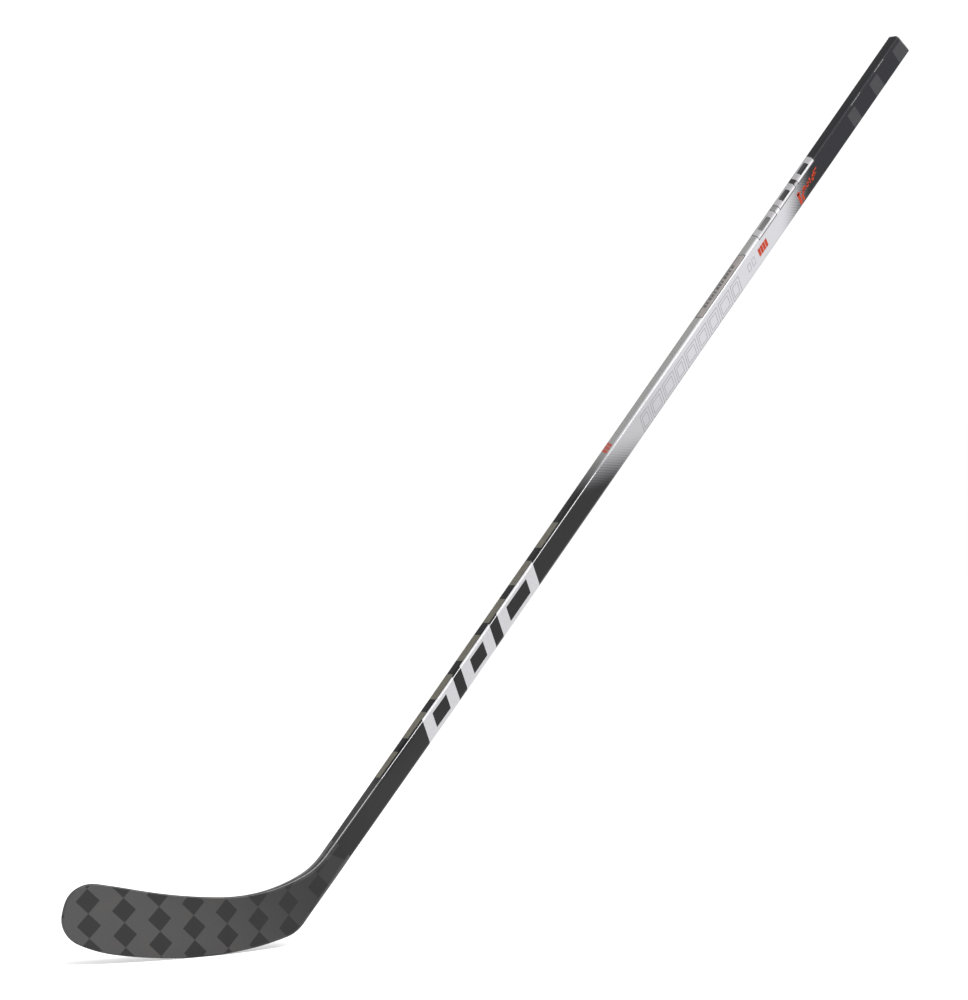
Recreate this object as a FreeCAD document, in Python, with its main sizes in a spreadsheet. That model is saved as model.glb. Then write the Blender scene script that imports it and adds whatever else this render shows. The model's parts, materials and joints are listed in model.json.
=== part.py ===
import FreeCAD, Part
import math
import os
import Sketcher

# Ice hockey stick, senior length, in playing pose: the blade stands on the ice at Z = 0, the shaft rises
# towards +X at the lie angle, the toe points to -X and the blade curves towards +Y.
# The origin is the point of the blade's bottom edge that touches the ice. Each sub-part is drawn with X = 0
# at the heel corner, where the underside of the shaft meets the bottom line, and Y = 0 in the shaft's middle
# plane; its Placement then moves it to the origin.

SIZES = {
    # Whole stick
    "lie_angle": 46.0,
    "heel_rise": 13.4,
    "stick_length": 1524.0,
    # Shaft section, and its taper down to the hosel joint
    "shaft_width": 30.4,
    "shaft_depth": 19.8,
    "shaft_corner": 4.5,
    "taper_start": 360.0,
    "joint_station": 122.0,
    "joint_width": 33.0,
    "joint_depth": 16.0,
    "joint_corner": 6.0,
    "weave_wall": 0.6,
    "laminate_wall": 1.4,
    # End plug
    "flange_depth": 2.5,
    "flange_round": 1.2,
    "plug_depth": 38.0,
    "plug_wall": 2.4,
    "plug_glue": 0.2,
    # Tenon of the blade, bonded inside the shaft
    "tenon_top": 205.0,
    "tenon_bond": 0.3,
    "tenon_wall": 1.2,
    "overwrap_wall": 1.0,
    # Label wrapped over the upper corner of the shaft
    "label_start": 1004.0,
    "label_length": 113.0,
    "label_film": 0.2,
    "label_wrap": 2.0,
    "label_across": 14.5,
    # Blade
    "root_x": 30.0,
    "toe_reach": 300.0,
    "blade_tall": 110.0,
    "curve_radius": 580.0,
    "root_thickness": 8.0,
    "toe_thickness": 5.5,
    "skin_wall": 0.9,
    "edge_width": 2.6,
    "edge_round": 2.2,
    "rib_bottom": 40.0,
    "rib_height": 5.0,
    "toe_core_x": 248.0,
    "rocker_radius": 530.0,
    "rocker_x": 128.0,
    # How far the blade's side view is extruded either way, clear of the blade's whole width
    "side_backhand": 30.0,
    "side_forehand": 120.0,
}
THROAT_STATION = 78.0


def underside(station):
    """Return (x, z) on the underside line of the shaft at a distance from the heel corner."""
    lie = math.radians(SIZES["lie_angle"])
    return station * math.cos(lie), SIZES["heel_rise"] + station * math.sin(lie)


JOINT_X, JOINT_Z = underside(SIZES["joint_station"])
THROAT_X, THROAT_Z = underside(THROAT_STATION)
SQUARE_TILT = 90.0 + SIZES["lie_angle"]
SHAFT_TURN = FreeCAD.Rotation(FreeCAD.Vector(0, 1, 0), 90.0 - SIZES["lie_angle"])

# Sections of the hosel, from the shaft joint round to the blade root. Each stands on the underside line of
# the stick at (x, z), leans by tilt from +X, and reaches height across to the throat.
HOSEL = {
    "joint": {"x": JOINT_X, "z": JOINT_Z, "tilt": SQUARE_TILT, "height": SIZES["joint_width"],
              "depth": SIZES["joint_depth"], "corner": SIZES["joint_corner"], "core_inset": 3.5},
    "throat": {"x": THROAT_X, "z": THROAT_Z, "tilt": SQUARE_TILT, "height": 36.6, "depth": 13.4,
               "corner": 5.2, "core_inset": 3.2},
    "neck": {"x": 26.0, "z": 41.5, "tilt": 112.0, "height": 48.0, "depth": 11.0, "corner": 4.3,
             "core_inset": 2.8},
    "heel": {"x": 4.0, "z": 22.0, "tilt": 103.0, "height": 59.5, "depth": 9.3, "corner": 3.4,
             "core_inset": 2.4},
    "root": {"x": -30.0, "z": 9.1, "tilt": 90.0, "height": 65.1, "depth": 8.0, "corner": 2.2,
             "core_inset": 2.1},
}
SMALLEST_CORNER = 0.8

# Blade outline: the rocker ends at ROCKER_END_X, and each later arc leaves along the last one's direction
# and reaches the next point, round the toe and back along the top edge to the heel: (x, z)
ROCKER_END_X = -235.0
OUTLINE_JOINTS = [(-274.5, 25.5), (-292.0, 61.5), (-287.5, 78.5), (-251.5, 98.0), (-207.5, 87.5),
                  (-102.0, 70.0), (0.0, 82.3)]

doc = FreeCAD.newDocument("hockey_stick")
sheet = doc.addObject("Spreadsheet::Sheet", "Sizes")
nodes = []


def fill_sheet(values):
    """Write each named size into a cell of its own."""
    for row, (alias, value) in enumerate(values.items(), start=1):
        sheet.set(f"A{row}", alias)
        sheet.set(f"B{row}", str(value))
        sheet.setAlias(f"B{row}", alias)


def bend(along):
    """Return how far the blade's middle surface has curved towards +Y at a distance past its root."""
    return SIZES["curve_radius"] - math.sqrt(SIZES["curve_radius"] ** 2 - along ** 2)


def hosel_values():
    """Give every hosel size a cell name, such as throat_height."""
    return {f"{name}_{key}": value for name, sizes in HOSEL.items() for key, value in sizes.items()}


def name_node(item, label):
    """Label a finished sub-part and move it from the heel corner to the ice contact point."""
    item.Label = label
    nodes.append(item)
    bind(item, Placement__Base__x="Sizes.rocker_x", Placement__Base__y="-Sizes.contact_bend")
    return item


def bind(item, **expressions):
    """Tie properties to sheet cells; a double underscore stands for a dot."""
    for prop, expression in expressions.items():
        item.setExpression(prop.replace("__", "."), expression)


def origin_plane(body, role):
    return next(feature for feature in body.Origin.OriginFeatures if feature.Role == role)


def rounded_box_lines(sketch):
    """Draw a rectangle with round corners, of any size, for constraints to take over."""
    vec = FreeCAD.Vector
    low_x, high_x = -SIZES["shaft_width"], 0.0
    half_y = SIZES["shaft_depth"] / 2
    corner = SIZES["shaft_corner"]
    sides = [
        (vec(low_x + corner, -half_y, 0), vec(high_x - corner, -half_y, 0)),
        (vec(high_x, -half_y + corner, 0), vec(high_x, half_y - corner, 0)),
        (vec(high_x - corner, half_y, 0), vec(low_x + corner, half_y, 0)),
        (vec(low_x, half_y - corner, 0), vec(low_x, -half_y + corner, 0)),
    ]
    centres = [
        vec(high_x - corner, -half_y + corner, 0),
        vec(high_x - corner, half_y - corner, 0),
        vec(low_x + corner, half_y - corner, 0),
        vec(low_x + corner, -half_y + corner, 0),
    ]
    for start, end in sides:
        sketch.addGeometry(Part.LineSegment(start, end), False)
    for index, centre in enumerate(centres):
        circle = Part.Circle(centre, vec(0, 0, 1), corner)
        begin = math.pi * (index - 1) / 2
        sketch.addGeometry(Part.ArcOfCircle(circle, begin, begin + math.pi / 2), False)


def rounded_section(body, name, far_x, near_x, depth, corner, offset=None):
    """Sketch a round-cornered section from X = far_x to near_x, centred on Y, all as sheet expressions."""
    sketch = body.newObject("Sketcher::SketchObject", name)
    sketch.AttachmentSupport = [(origin_plane(body, "XY_Plane"), "")]
    sketch.MapMode = "FlatFace"
    for prop, expression in (offset or {}).items():
        sketch.setExpression(prop, expression)
    rounded_box_lines(sketch)
    start, end = 1, 2
    first_arc = 4
    for line in range(4):
        arc = first_arc + line
        following = (line + 1) % 4
        sketch.addConstraint(Sketcher.Constraint("Tangent", line, end, arc, start))
        sketch.addConstraint(Sketcher.Constraint("Tangent", arc, end, following, start))
        sketch.addConstraint(Sketcher.Constraint("Vertical" if line % 2 else "Horizontal", line))
        if line:
            sketch.addConstraint(Sketcher.Constraint("Equal", first_arc, arc))
    right, left = 1, 3
    straight = SIZES["shaft_depth"] - 2 * SIZES["shaft_corner"]
    dimensions = [
        ("corner", Sketcher.Constraint("Radius", first_arc, SIZES["shaft_corner"]), corner),
        ("near_x", Sketcher.Constraint("DistanceX", -1, start, right, start, 0.001), near_x),
        ("width", Sketcher.Constraint("DistanceX", left, start, right, start, SIZES["shaft_width"]),
         f"({near_x}) - ({far_x})"),
        ("depth", Sketcher.Constraint("DistanceY", right, start, right, end, straight),
         f"{depth} - 2 * ({corner})"),
        ("half_depth", Sketcher.Constraint("DistanceY", -1, start, right, end, straight / 2),
         f"({depth}) / 2 - ({corner})"),
    ]
    for label, constraint, expression in dimensions:
        index = sketch.addConstraint(constraint)
        sketch.renameConstraint(index, label)
        sketch.setExpression(f"Constraints.{label}", expression)
    return sketch


def shaft_section(body, name, station, inset, at_joint=False):
    """Sketch the shaft's section at a station, shrunk all round by inset."""
    kind = "joint" if at_joint else "shaft"
    far_x = f"-Sizes.{kind}_width + {inset}"
    near_x = f"-({inset})"
    depth = f"Sizes.{kind}_depth - 2 * ({inset})"
    corner = f"max(Sizes.{kind}_corner - ({inset}); {SMALLEST_CORNER})"
    return rounded_section(body, name, far_x, near_x, depth, corner, {"AttachmentOffset.Base.z": station})


def loft(body, kind, name, sections, ruled=True):
    feature = body.newObject(f"PartDesign::{kind}", name)
    feature.Profile = (sections[0], [""])
    feature.Sections = [(section, [""]) for section in sections[1:]]
    feature.Ruled = ruled
    return feature


def pad(body, name, sketch, length):
    feature = body.newObject("PartDesign::Pad", name)
    feature.Profile = sketch
    bind(feature, Length=length)
    return feature


def pocket(body, name, sketch, length, reverse):
    feature = body.newObject("PartDesign::Pocket", name)
    feature.Profile = sketch
    feature.Reversed = reverse
    bind(feature, Length=length)
    return feature


def shaft_body(name):
    """Start a body whose Z runs up the shaft, with X = 0 on the shaft's underside."""
    body = doc.addObject("PartDesign::Body", name)
    body.Placement = FreeCAD.Placement(FreeCAD.Vector(), SHAFT_TURN)
    bind(body, Placement__Base__z="Sizes.heel_rise", Placement__Rotation__Angle="90 - Sizes.lie_angle")
    return body


def shaft_tube(label, outer_inset, inner_inset):
    """Make one layer of the shaft: tapered from the hosel joint, then straight to the end plug."""
    body = shaft_body(label)
    joint = "Sizes.joint_station"
    taper = "Sizes.taper_start"
    straight = "Sizes.stick_length - Sizes.flange_depth - Sizes.taper_start"
    outer_low = shaft_section(body, f"{label}_outer_joint", joint, outer_inset, at_joint=True)
    outer_high = shaft_section(body, f"{label}_outer_taper", taper, outer_inset)
    loft(body, "AdditiveLoft", f"{label}_taper", [outer_low, outer_high])
    outer_straight = shaft_section(body, f"{label}_outer_straight", taper, outer_inset)
    pad(body, f"{label}_straight", outer_straight, straight)
    inner_low = shaft_section(body, f"{label}_inner_joint", joint, inner_inset, at_joint=True)
    inner_high = shaft_section(body, f"{label}_inner_taper", taper, inner_inset)
    loft(body, "SubtractiveLoft", f"{label}_taper_hollow", [inner_low, inner_high])
    inner_straight = shaft_section(body, f"{label}_inner_straight", taper, inner_inset)
    pocket(body, f"{label}_straight_hollow", inner_straight, straight, True)
    return name_node(body, label)


def sleeve(label, outer_inset, inner_inset, start, length):
    """Make a straight thin sleeve round the shaft's section."""
    body = shaft_body(label)
    pad(body, f"{label}_outside", shaft_section(body, f"{label}_outer", start, outer_inset), length)
    pocket(body, f"{label}_inside", shaft_section(body, f"{label}_inner", start, inner_inset), length, True)
    return body


def end_plug():
    """Make the butt plug: a flange over the tube's end and a hollow stub inside it."""
    body = shaft_body("butt_end_plug")
    flange_start = "Sizes.stick_length - Sizes.flange_depth"
    stub_start = "Sizes.stick_length - Sizes.plug_depth"
    stub_inset = "Sizes.weave_wall + Sizes.laminate_wall + Sizes.plug_glue"
    hollow_inset = f"{stub_inset} + Sizes.plug_wall"
    pad(body, "plug_flange", shaft_section(body, "flange_section", flange_start, "0"), "Sizes.flange_depth")
    stub = shaft_section(body, "stub_section", stub_start, stub_inset)
    pad(body, "plug_stub", stub, "Sizes.plug_depth - Sizes.flange_depth")
    hollow = shaft_section(body, "stub_hollow_section", stub_start, hollow_inset)
    pocket(body, "plug_hollow", hollow, "Sizes.plug_depth - 2 * Sizes.flange_depth", True)
    doc.recompute()
    top = max(body.Tip.Shape.Faces, key=lambda face: face.CenterOfMass.z)
    rim = [f"Edge{number}" for number, edge in enumerate(body.Tip.Shape.Edges, start=1)
           if any(edge.isSame(other) for other in top.Edges)]
    base = body.Tip
    rounding = body.newObject("PartDesign::Fillet", "plug_round")
    rounding.Base = (base, rim)
    bind(rounding, Radius="Sizes.flange_round")
    return name_node(body, "butt_end_plug")


def plug_glue():
    """Make the glue film between the plug's stub and the tube."""
    wall = "Sizes.weave_wall + Sizes.laminate_wall"
    body = sleeve("plug_glue_film", wall, f"{wall} + Sizes.plug_glue",
                  "Sizes.stick_length - Sizes.plug_depth", "Sizes.plug_depth - Sizes.flange_depth")
    return name_node(body, "plug_glue_film")


def shaft_label():
    """Make the film label that covers most of the narrow upper side and folds over one corner."""
    wrap = sleeve("label_wrap", "-Sizes.label_film", "0", "Sizes.label_start", "Sizes.label_length")
    window = shaft_box("label_window", "-Sizes.shaft_width - 1", "-Sizes.shaft_depth / 2 - 1",
                       "Sizes.label_start - 1", "Sizes.label_wrap + 1", "Sizes.label_across + 1",
                       "Sizes.label_length + 2")
    common = doc.addObject("Part::MultiCommon", "shaft_label")
    common.Shapes = [wrap, window]
    return name_node(common, "shaft_label")


def shaft_box(name, low_x, low_y, low_z, size_x, size_y, size_z):
    """Place a box by sheet expressions in the shaft's own directions."""
    box = doc.addObject("Part::Box", name)
    box.Placement = FreeCAD.Placement(FreeCAD.Vector(), SHAFT_TURN)
    lean = "(90 - Sizes.lie_angle)"
    bind(box, Length=size_x, Width=size_y, Height=size_z,
         Placement__Rotation__Angle=lean,
         Placement__Base__x=f"({low_x}) * cos({lean}) + ({low_z}) * sin({lean})",
         Placement__Base__y=low_y,
         Placement__Base__z=f"Sizes.heel_rise - ({low_x}) * sin({lean}) + ({low_z}) * cos({lean})")
    return box


def hosel_sections(body, stem, inset_of):
    """Sketch the fan of five hosel sections, shrunk by inset_of(section name)."""
    sections = []
    for name in HOSEL:
        cell = f"Sizes.{name}"
        inset = inset_of(name)
        offset = {
            "AttachmentOffset.Base.x": f"{cell}_x",
            "AttachmentOffset.Base.z": f"{cell}_z",
            "AttachmentOffset.Rotation.Angle": f"-{cell}_tilt",
        }
        sketch = rounded_section(body, f"{stem}_{name}", f"({inset})", f"{cell}_height - ({inset})",
                                 f"{cell}_depth - 2 * ({inset})",
                                 f"max({cell}_corner - ({inset}); {SMALLEST_CORNER})")
        sketch.AttachmentOffset = FreeCAD.Placement(
            FreeCAD.Vector(), FreeCAD.Rotation(FreeCAD.Vector(0, 1, 0), -HOSEL[name]["tilt"]))
        for prop, expression in offset.items():
            sketch.setExpression(prop, expression)
        sections.append(sketch)
    return sections


def hosel_overwrap():
    """Make the outer plies that wrap the joint and run from the blade root to the shaft."""
    body = doc.addObject("PartDesign::Body", "hosel_overwrap")
    loft(body, "AdditiveLoft", "overwrap_outside", hosel_sections(body, "wrap_out", lambda name: "0"), False)
    inside = hosel_sections(body, "wrap_in", lambda name: "Sizes.overwrap_wall")
    loft(body, "SubtractiveLoft", "overwrap_inside", inside, False)
    return name_node(body, "hosel_overwrap")


def hosel_core_shape(name):
    """Loft the space that the hosel's foam fills."""
    body = doc.addObject("PartDesign::Body", name)
    inside = hosel_sections(body, name, lambda section: f"Sizes.{section}_core_inset")
    loft(body, "AdditiveLoft", f"{name}_fill", inside, False)
    return body


def tenon_spigot(name, inset):
    """Make the tapered plug shape that enters the shaft."""
    body = shaft_body(name)
    rise = "(Sizes.tenon_top - Sizes.joint_station) / (Sizes.taper_start - Sizes.joint_station)"
    low = shaft_section(body, f"{name}_low", "Sizes.joint_station", inset, at_joint=True)
    high = rounded_section(
        body, f"{name}_high",
        f"-Sizes.joint_width - (Sizes.shaft_width - Sizes.joint_width) * {rise} + ({inset})",
        f"-({inset})",
        f"Sizes.joint_depth + (Sizes.shaft_depth - Sizes.joint_depth) * {rise} - 2 * ({inset})",
        f"max(Sizes.joint_corner + (Sizes.shaft_corner - Sizes.joint_corner) * {rise} - ({inset});"
        f" {SMALLEST_CORNER})",
        {"AttachmentOffset.Base.z": "Sizes.tenon_top"})
    loft(body, "AdditiveLoft", f"{name}_loft", [low, high])
    return body


def combine(kind, label, shapes, node=True):
    """Join, cut or intersect shapes as one boolean."""
    item = doc.addObject(kind, label)
    if kind == "Part::Cut":
        item.Base, item.Tool = shapes
    else:
        item.Shapes = shapes
    return name_node(item, label) if node else item


def tenon_pieces():
    """Make the blade's tenon, the glue round it and the foam in it."""
    bore = "Sizes.weave_wall + Sizes.laminate_wall"
    outside = f"{bore} + Sizes.tenon_bond"
    inside = f"{outside} + Sizes.tenon_wall"
    shoulder = doc.addObject("PartDesign::Body", "tenon_shoulder")
    lines = hosel_sections(shoulder, "shoulder", lambda name: "Sizes.overwrap_wall")
    loft(shoulder, "AdditiveLoft", "shoulder_fill", lines, False)
    spigot = tenon_spigot("spigot_outside", outside)
    tenon_solid = combine("Part::MultiFuse", "tenon_solid", [shoulder, spigot], node=False)
    hollow = combine("Part::MultiFuse", "tenon_hollow",
                     [hosel_core_shape("hosel_fill"), tenon_spigot("spigot_inside", inside)], node=False)
    combine("Part::Cut", "blade_tenon", (tenon_solid, hollow))
    combine("Part::MultiCommon", "hosel_foam_core", [tenon_solid, hollow])
    glue_outside = tenon_spigot("glue_outside", bore)
    glue_inside = tenon_spigot("glue_inside", outside)
    combine("Part::Cut", "tenon_bond_film", (glue_outside, glue_inside))


def tangent_arc(start, direction, end):
    """Return the arc that leaves start along direction and reaches end, and its direction there."""
    chord = end - start
    across = FreeCAD.Vector(-direction.y, direction.x, 0)
    radius = chord.dot(chord) / (2 * chord.dot(across))
    centre = start + across * radius
    crest = centre + ((start + end) / 2 - centre).normalize() * abs(radius)
    along = FreeCAD.Vector(chord).normalize()
    return Part.Arc(start, crest, end), along * (2 * direction.dot(along)) - direction


def blade_outline(name):
    """Sketch the blade's side view: a rocker arc, then tangent arcs round the toe and along the top."""
    sketch = doc.addObject("Sketcher::SketchObject", name)
    sketch.Placement = FreeCAD.Placement(FreeCAD.Vector(), FreeCAD.Rotation(FreeCAD.Vector(1, 0, 0), 90))
    radius = SIZES["rocker_radius"]

    def rocker(x):
        return FreeCAD.Vector(x, radius - math.sqrt(radius ** 2 - (x + SIZES["rocker_x"]) ** 2), 0)

    heel = rocker(0.0)
    point = rocker(ROCKER_END_X)
    sketch.addGeometry(Part.Arc(heel, rocker(-SIZES["rocker_x"]), point), False)
    direction = FreeCAD.Vector(point.y - radius, -SIZES["rocker_x"] - ROCKER_END_X, 0).normalize()
    for x, z in OUTLINE_JOINTS:
        end = FreeCAD.Vector(x, z, 0)
        arc, direction = tangent_arc(point, direction, end)
        sketch.addGeometry(arc, False)
        point = end
    sketch.addGeometry(Part.LineSegment(point, heel), False)
    return sketch


def blade_side(name, source):
    """Extrude a side view across the whole width of the curved blade."""
    item = doc.addObject("Part::Extrusion", name)
    item.Base = source
    item.DirMode = "Custom"
    item.Dir = FreeCAD.Vector(0, 1, 0)
    bind(item, LengthFwd="Sizes.side_forehand", LengthRev="Sizes.side_backhand")
    item.Solid = True
    return item


def blade_strip(name, low_share, high_share, low_skin=0.0, high_skin=0.0):
    """Extrude a curved strip of the blade's plan view.

    Shares run from -0.5, the backhand face, to 0.5, the forehand face; the skins are wall
    thicknesses measured inwards from there.
    """
    sketch = doc.addObject("Sketcher::SketchObject", name + "_plan")

    def edge(share, skin):
        points = []
        for part in (0.0, 0.5, 1.0):
            along = (SIZES["toe_reach"] - SIZES["root_x"]) * part
            angle = math.asin(along / SIZES["curve_radius"])
            thick = SIZES["root_thickness"] + (SIZES["toe_thickness"] - SIZES["root_thickness"]) * part
            away = thick * share + skin
            points.append(FreeCAD.Vector(
                -SIZES["root_x"] - along + away * math.sin(angle),
                SIZES["curve_radius"] * (1 - math.cos(angle)) + away * math.cos(angle), 0))
        return points

    low = edge(low_share, low_skin)
    high = edge(high_share, high_skin)
    sketch.addGeometry(Part.Arc(*low), False)
    sketch.addGeometry(Part.LineSegment(low[2], high[2]), False)
    sketch.addGeometry(Part.Arc(*reversed(high)), False)
    sketch.addGeometry(Part.LineSegment(high[0], low[0]), False)
    item = doc.addObject("Part::Extrusion", name)
    item.Base = sketch
    item.DirMode = "Custom"
    item.Dir = FreeCAD.Vector(0, 0, 1)
    bind(item, LengthFwd="Sizes.blade_tall")
    item.Solid = True
    return item


def blade_block(name, low_x, high_x, low_z, high_z):
    """Place a box that picks one region of the blade's core."""
    box = doc.addObject("Part::Box", name)
    bind(box, Length=f"({high_x}) - ({low_x})", Width="Sizes.blade_tall", Height=f"({high_z}) - ({low_z})",
         Placement__Base__x=low_x, Placement__Base__y="-Sizes.root_thickness",
         Placement__Base__z=low_z)
    return box


def blade_pieces():
    """Make the blade: edge band, two skins, and foam cores either side of a rib."""
    outline = blade_outline("blade_outline")
    inner = doc.addObject("Part::Offset2D", "blade_inner_outline")
    inner.Source = outline
    inner.Join = "Intersection"
    bind(inner, Value="-Sizes.edge_width")
    skin = SIZES["skin_wall"]
    whole = combine("Part::MultiCommon", "blade_whole",
                    [blade_side("blade_side", outline), blade_strip("blade_full", -0.5, 0.5)], node=False)
    inner_side = blade_side("blade_inner_side", inner)
    backhand = blade_strip("backhand", -0.5, -0.5, 0, skin)
    forehand = blade_strip("forehand", 0.5, 0.5, -skin, 0)
    combine("Part::MultiCommon", "blade_backhand_skin", [inner_side, backhand])
    combine("Part::MultiCommon", "blade_forehand_skin", [inner_side, forehand])
    core = combine("Part::MultiCommon", "blade_core",
                   [inner_side, blade_strip("middle", -0.5, 0.5, skin, -skin)], node=False)
    rib_top = "Sizes.rib_bottom + Sizes.rib_height"
    blocks = {
        "blade_core_upper": ("-Sizes.toe_core_x", "0", rib_top, "Sizes.blade_tall"),
        "blade_rib": ("-Sizes.toe_core_x", "0", "Sizes.rib_bottom", rib_top),
        "blade_core_lower": ("-Sizes.toe_core_x", "0", "0", "Sizes.rib_bottom"),
        "blade_toe_core": ("-Sizes.toe_reach", "-Sizes.toe_core_x", "0", "Sizes.blade_tall"),
    }
    for label, limits in blocks.items():
        combine("Part::MultiCommon", label, [core, blade_block(f"{label}_block", *limits)])
    doc.recompute()
    rounded = doc.addObject("Part::Fillet", "blade_rounded")
    rounded.Base = whole
    rounded.Edges = [(number, SIZES["edge_round"], SIZES["edge_round"]) for number in face_rims(whole.Shape)]
    combine("Part::Cut", "blade_edge_band", (rounded, inner_side))


def face_rims(shape):
    """Number the long edges round the blade's two faces, leaving out the root end."""
    numbers = []
    for number, edge in enumerate(shape.Edges, start=1):
        middle = edge.valueAt((edge.FirstParameter + edge.LastParameter) / 2)
        if edge.Length > SIZES["root_thickness"] + 1 and middle.x < -SIZES["root_x"] - 1:
            numbers.append(number)
    return numbers


def check_and_write():
    """Stop on any failed object or bad shape, then write one file for each node."""
    doc.recompute()
    failed = [item.Name for item in doc.Objects if {"Invalid", "Error"} & set(item.State)]
    if failed:
        raise RuntimeError(f"failed objects: {failed}")
    for item in nodes:
        shape = item.Shape
        if shape.isNull() or not shape.isValid() or shape.Volume < 1.0:
            raise RuntimeError(f"bad shape: {item.Label}")
    os.makedirs("parts", exist_ok=True)
    for item in nodes:
        item.Shape.exportStep(f"parts/{item.Label}.step")
        print(f"{item.Label}: {len(item.Shape.Solids)} solid, {item.Shape.Volume / 1000:.2f} cm3")


SIZES["contact_bend"] = bend(SIZES["rocker_x"] - SIZES["root_x"])
fill_sheet({**SIZES, **hosel_values()})
doc.recompute()
shaft_tube("shaft_outer_weave", "0", "Sizes.weave_wall")
shaft_tube("shaft_inner_laminate", "Sizes.weave_wall", "Sizes.weave_wall + Sizes.laminate_wall")
end_plug()
plug_glue()
shaft_label()
hosel_overwrap()
tenon_pieces()
blade_pieces()
check_and_write()
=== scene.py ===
"""Dress the packed ice hockey stick: its shells, finishes and paint films, with the studio and the camera."""

import json
import logging
import math
from collections.abc import Iterable, Sequence
from dataclasses import dataclass, field
from enum import Enum

import bmesh
import bpy
from bmesh.types import BMEdge, BMesh, BMFace, BMVert
from bpy.types import Material, Node, NodeSocket, NodeTree, Object
from mathutils import Matrix, Vector


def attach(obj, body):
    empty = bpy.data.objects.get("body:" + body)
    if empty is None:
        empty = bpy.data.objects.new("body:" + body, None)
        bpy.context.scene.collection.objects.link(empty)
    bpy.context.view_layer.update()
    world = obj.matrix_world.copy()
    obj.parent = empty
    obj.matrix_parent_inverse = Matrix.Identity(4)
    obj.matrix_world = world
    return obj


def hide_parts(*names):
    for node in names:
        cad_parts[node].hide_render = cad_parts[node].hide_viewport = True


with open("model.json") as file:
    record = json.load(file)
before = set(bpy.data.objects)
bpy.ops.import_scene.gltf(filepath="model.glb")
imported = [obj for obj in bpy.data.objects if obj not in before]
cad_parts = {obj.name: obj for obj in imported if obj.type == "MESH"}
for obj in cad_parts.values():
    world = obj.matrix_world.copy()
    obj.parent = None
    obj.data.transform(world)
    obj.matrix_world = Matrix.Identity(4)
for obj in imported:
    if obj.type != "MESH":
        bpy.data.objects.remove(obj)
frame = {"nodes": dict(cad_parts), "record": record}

LOG = logging.getLogger("hockey_stick")
MM = 0.001
SHARP_ANGLE = math.radians(30)
Colour = tuple[float, float, float]


class Side(Enum):
    """The two broad sides of the stick, as the sign of Y that each one faces."""

    BACKHAND = -1
    FOREHAND = 1


class Layer(Enum):
    """How far a film's underside lies from the stick's full size, in metres: the shaft's shell lies lower."""

    LINE = -0.12 * MM
    SHEET = -0.11 * MM
    INK = -0.10 * MM
    TOP = -0.05 * MM


class Maths(Enum):
    """The arithmetic that the finishes use, by its node operation."""

    ADD = "ADD"
    SUBTRACT = "SUBTRACT"
    MULTIPLY = "MULTIPLY"
    DIVIDE = "DIVIDE"
    SINE = "SINE"
    ABSOLUTE = "ABSOLUTE"
    ROUND = "ROUND"
    FLOOR = "FLOOR"
    MODULO = "FLOORED_MODULO"
    LESS = "LESS_THAN"
    ARCTAN2 = "ARCTAN2"


def mount(name: str) -> tuple[Vector, Vector]:
    """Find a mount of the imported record.

    Args:
        name: The mount's name.

    Returns:
        Its place and its outward direction.
    """
    entry = next(item for item in frame["record"]["mounts"] if item["name"] == name)
    return Vector(entry["pos_m"]), Vector(entry["axis"]).normalized()


@dataclass(frozen=True)
class StickFrame:
    """Where the shaft runs: local X points to its underside, Y to the forehand side and Z up the shaft."""

    length: float = 1.524
    width: float = 30.4 * MM
    depth: float = 19.8 * MM
    joint: float = 0.122
    taper_bend: float = 0.240
    taper_end: float = 0.360

    @property
    def along(self) -> Vector:
        """Direction from the heel to the butt."""
        return mount("butt_face")[1]

    @property
    def under(self) -> Vector:
        """Direction from the shaft's middle to its underside."""
        return mount("shaft_underside")[1]

    @property
    def foot(self) -> Vector:
        """Point of the shaft's centre line level with the heel corner."""
        return mount("butt_face")[0] - self.along * self.length

    @property
    def heel(self) -> Vector:
        """Heel corner, where the underside line meets the bottom line of the blade."""
        return self.foot + self.under * self.width / 2

    @property
    def matrix(self) -> Matrix:
        """Transform from the shaft's own directions to the stick's frame."""
        axes = Matrix((self.under, Vector((0, 1, 0)), self.along)).transposed()
        return Matrix.Translation(self.foot) @ axes.to_4x4()


STICK = StickFrame()


# ---------------------------------------------------------------------------------------------------------
# Nodes
# ---------------------------------------------------------------------------------------------------------


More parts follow.
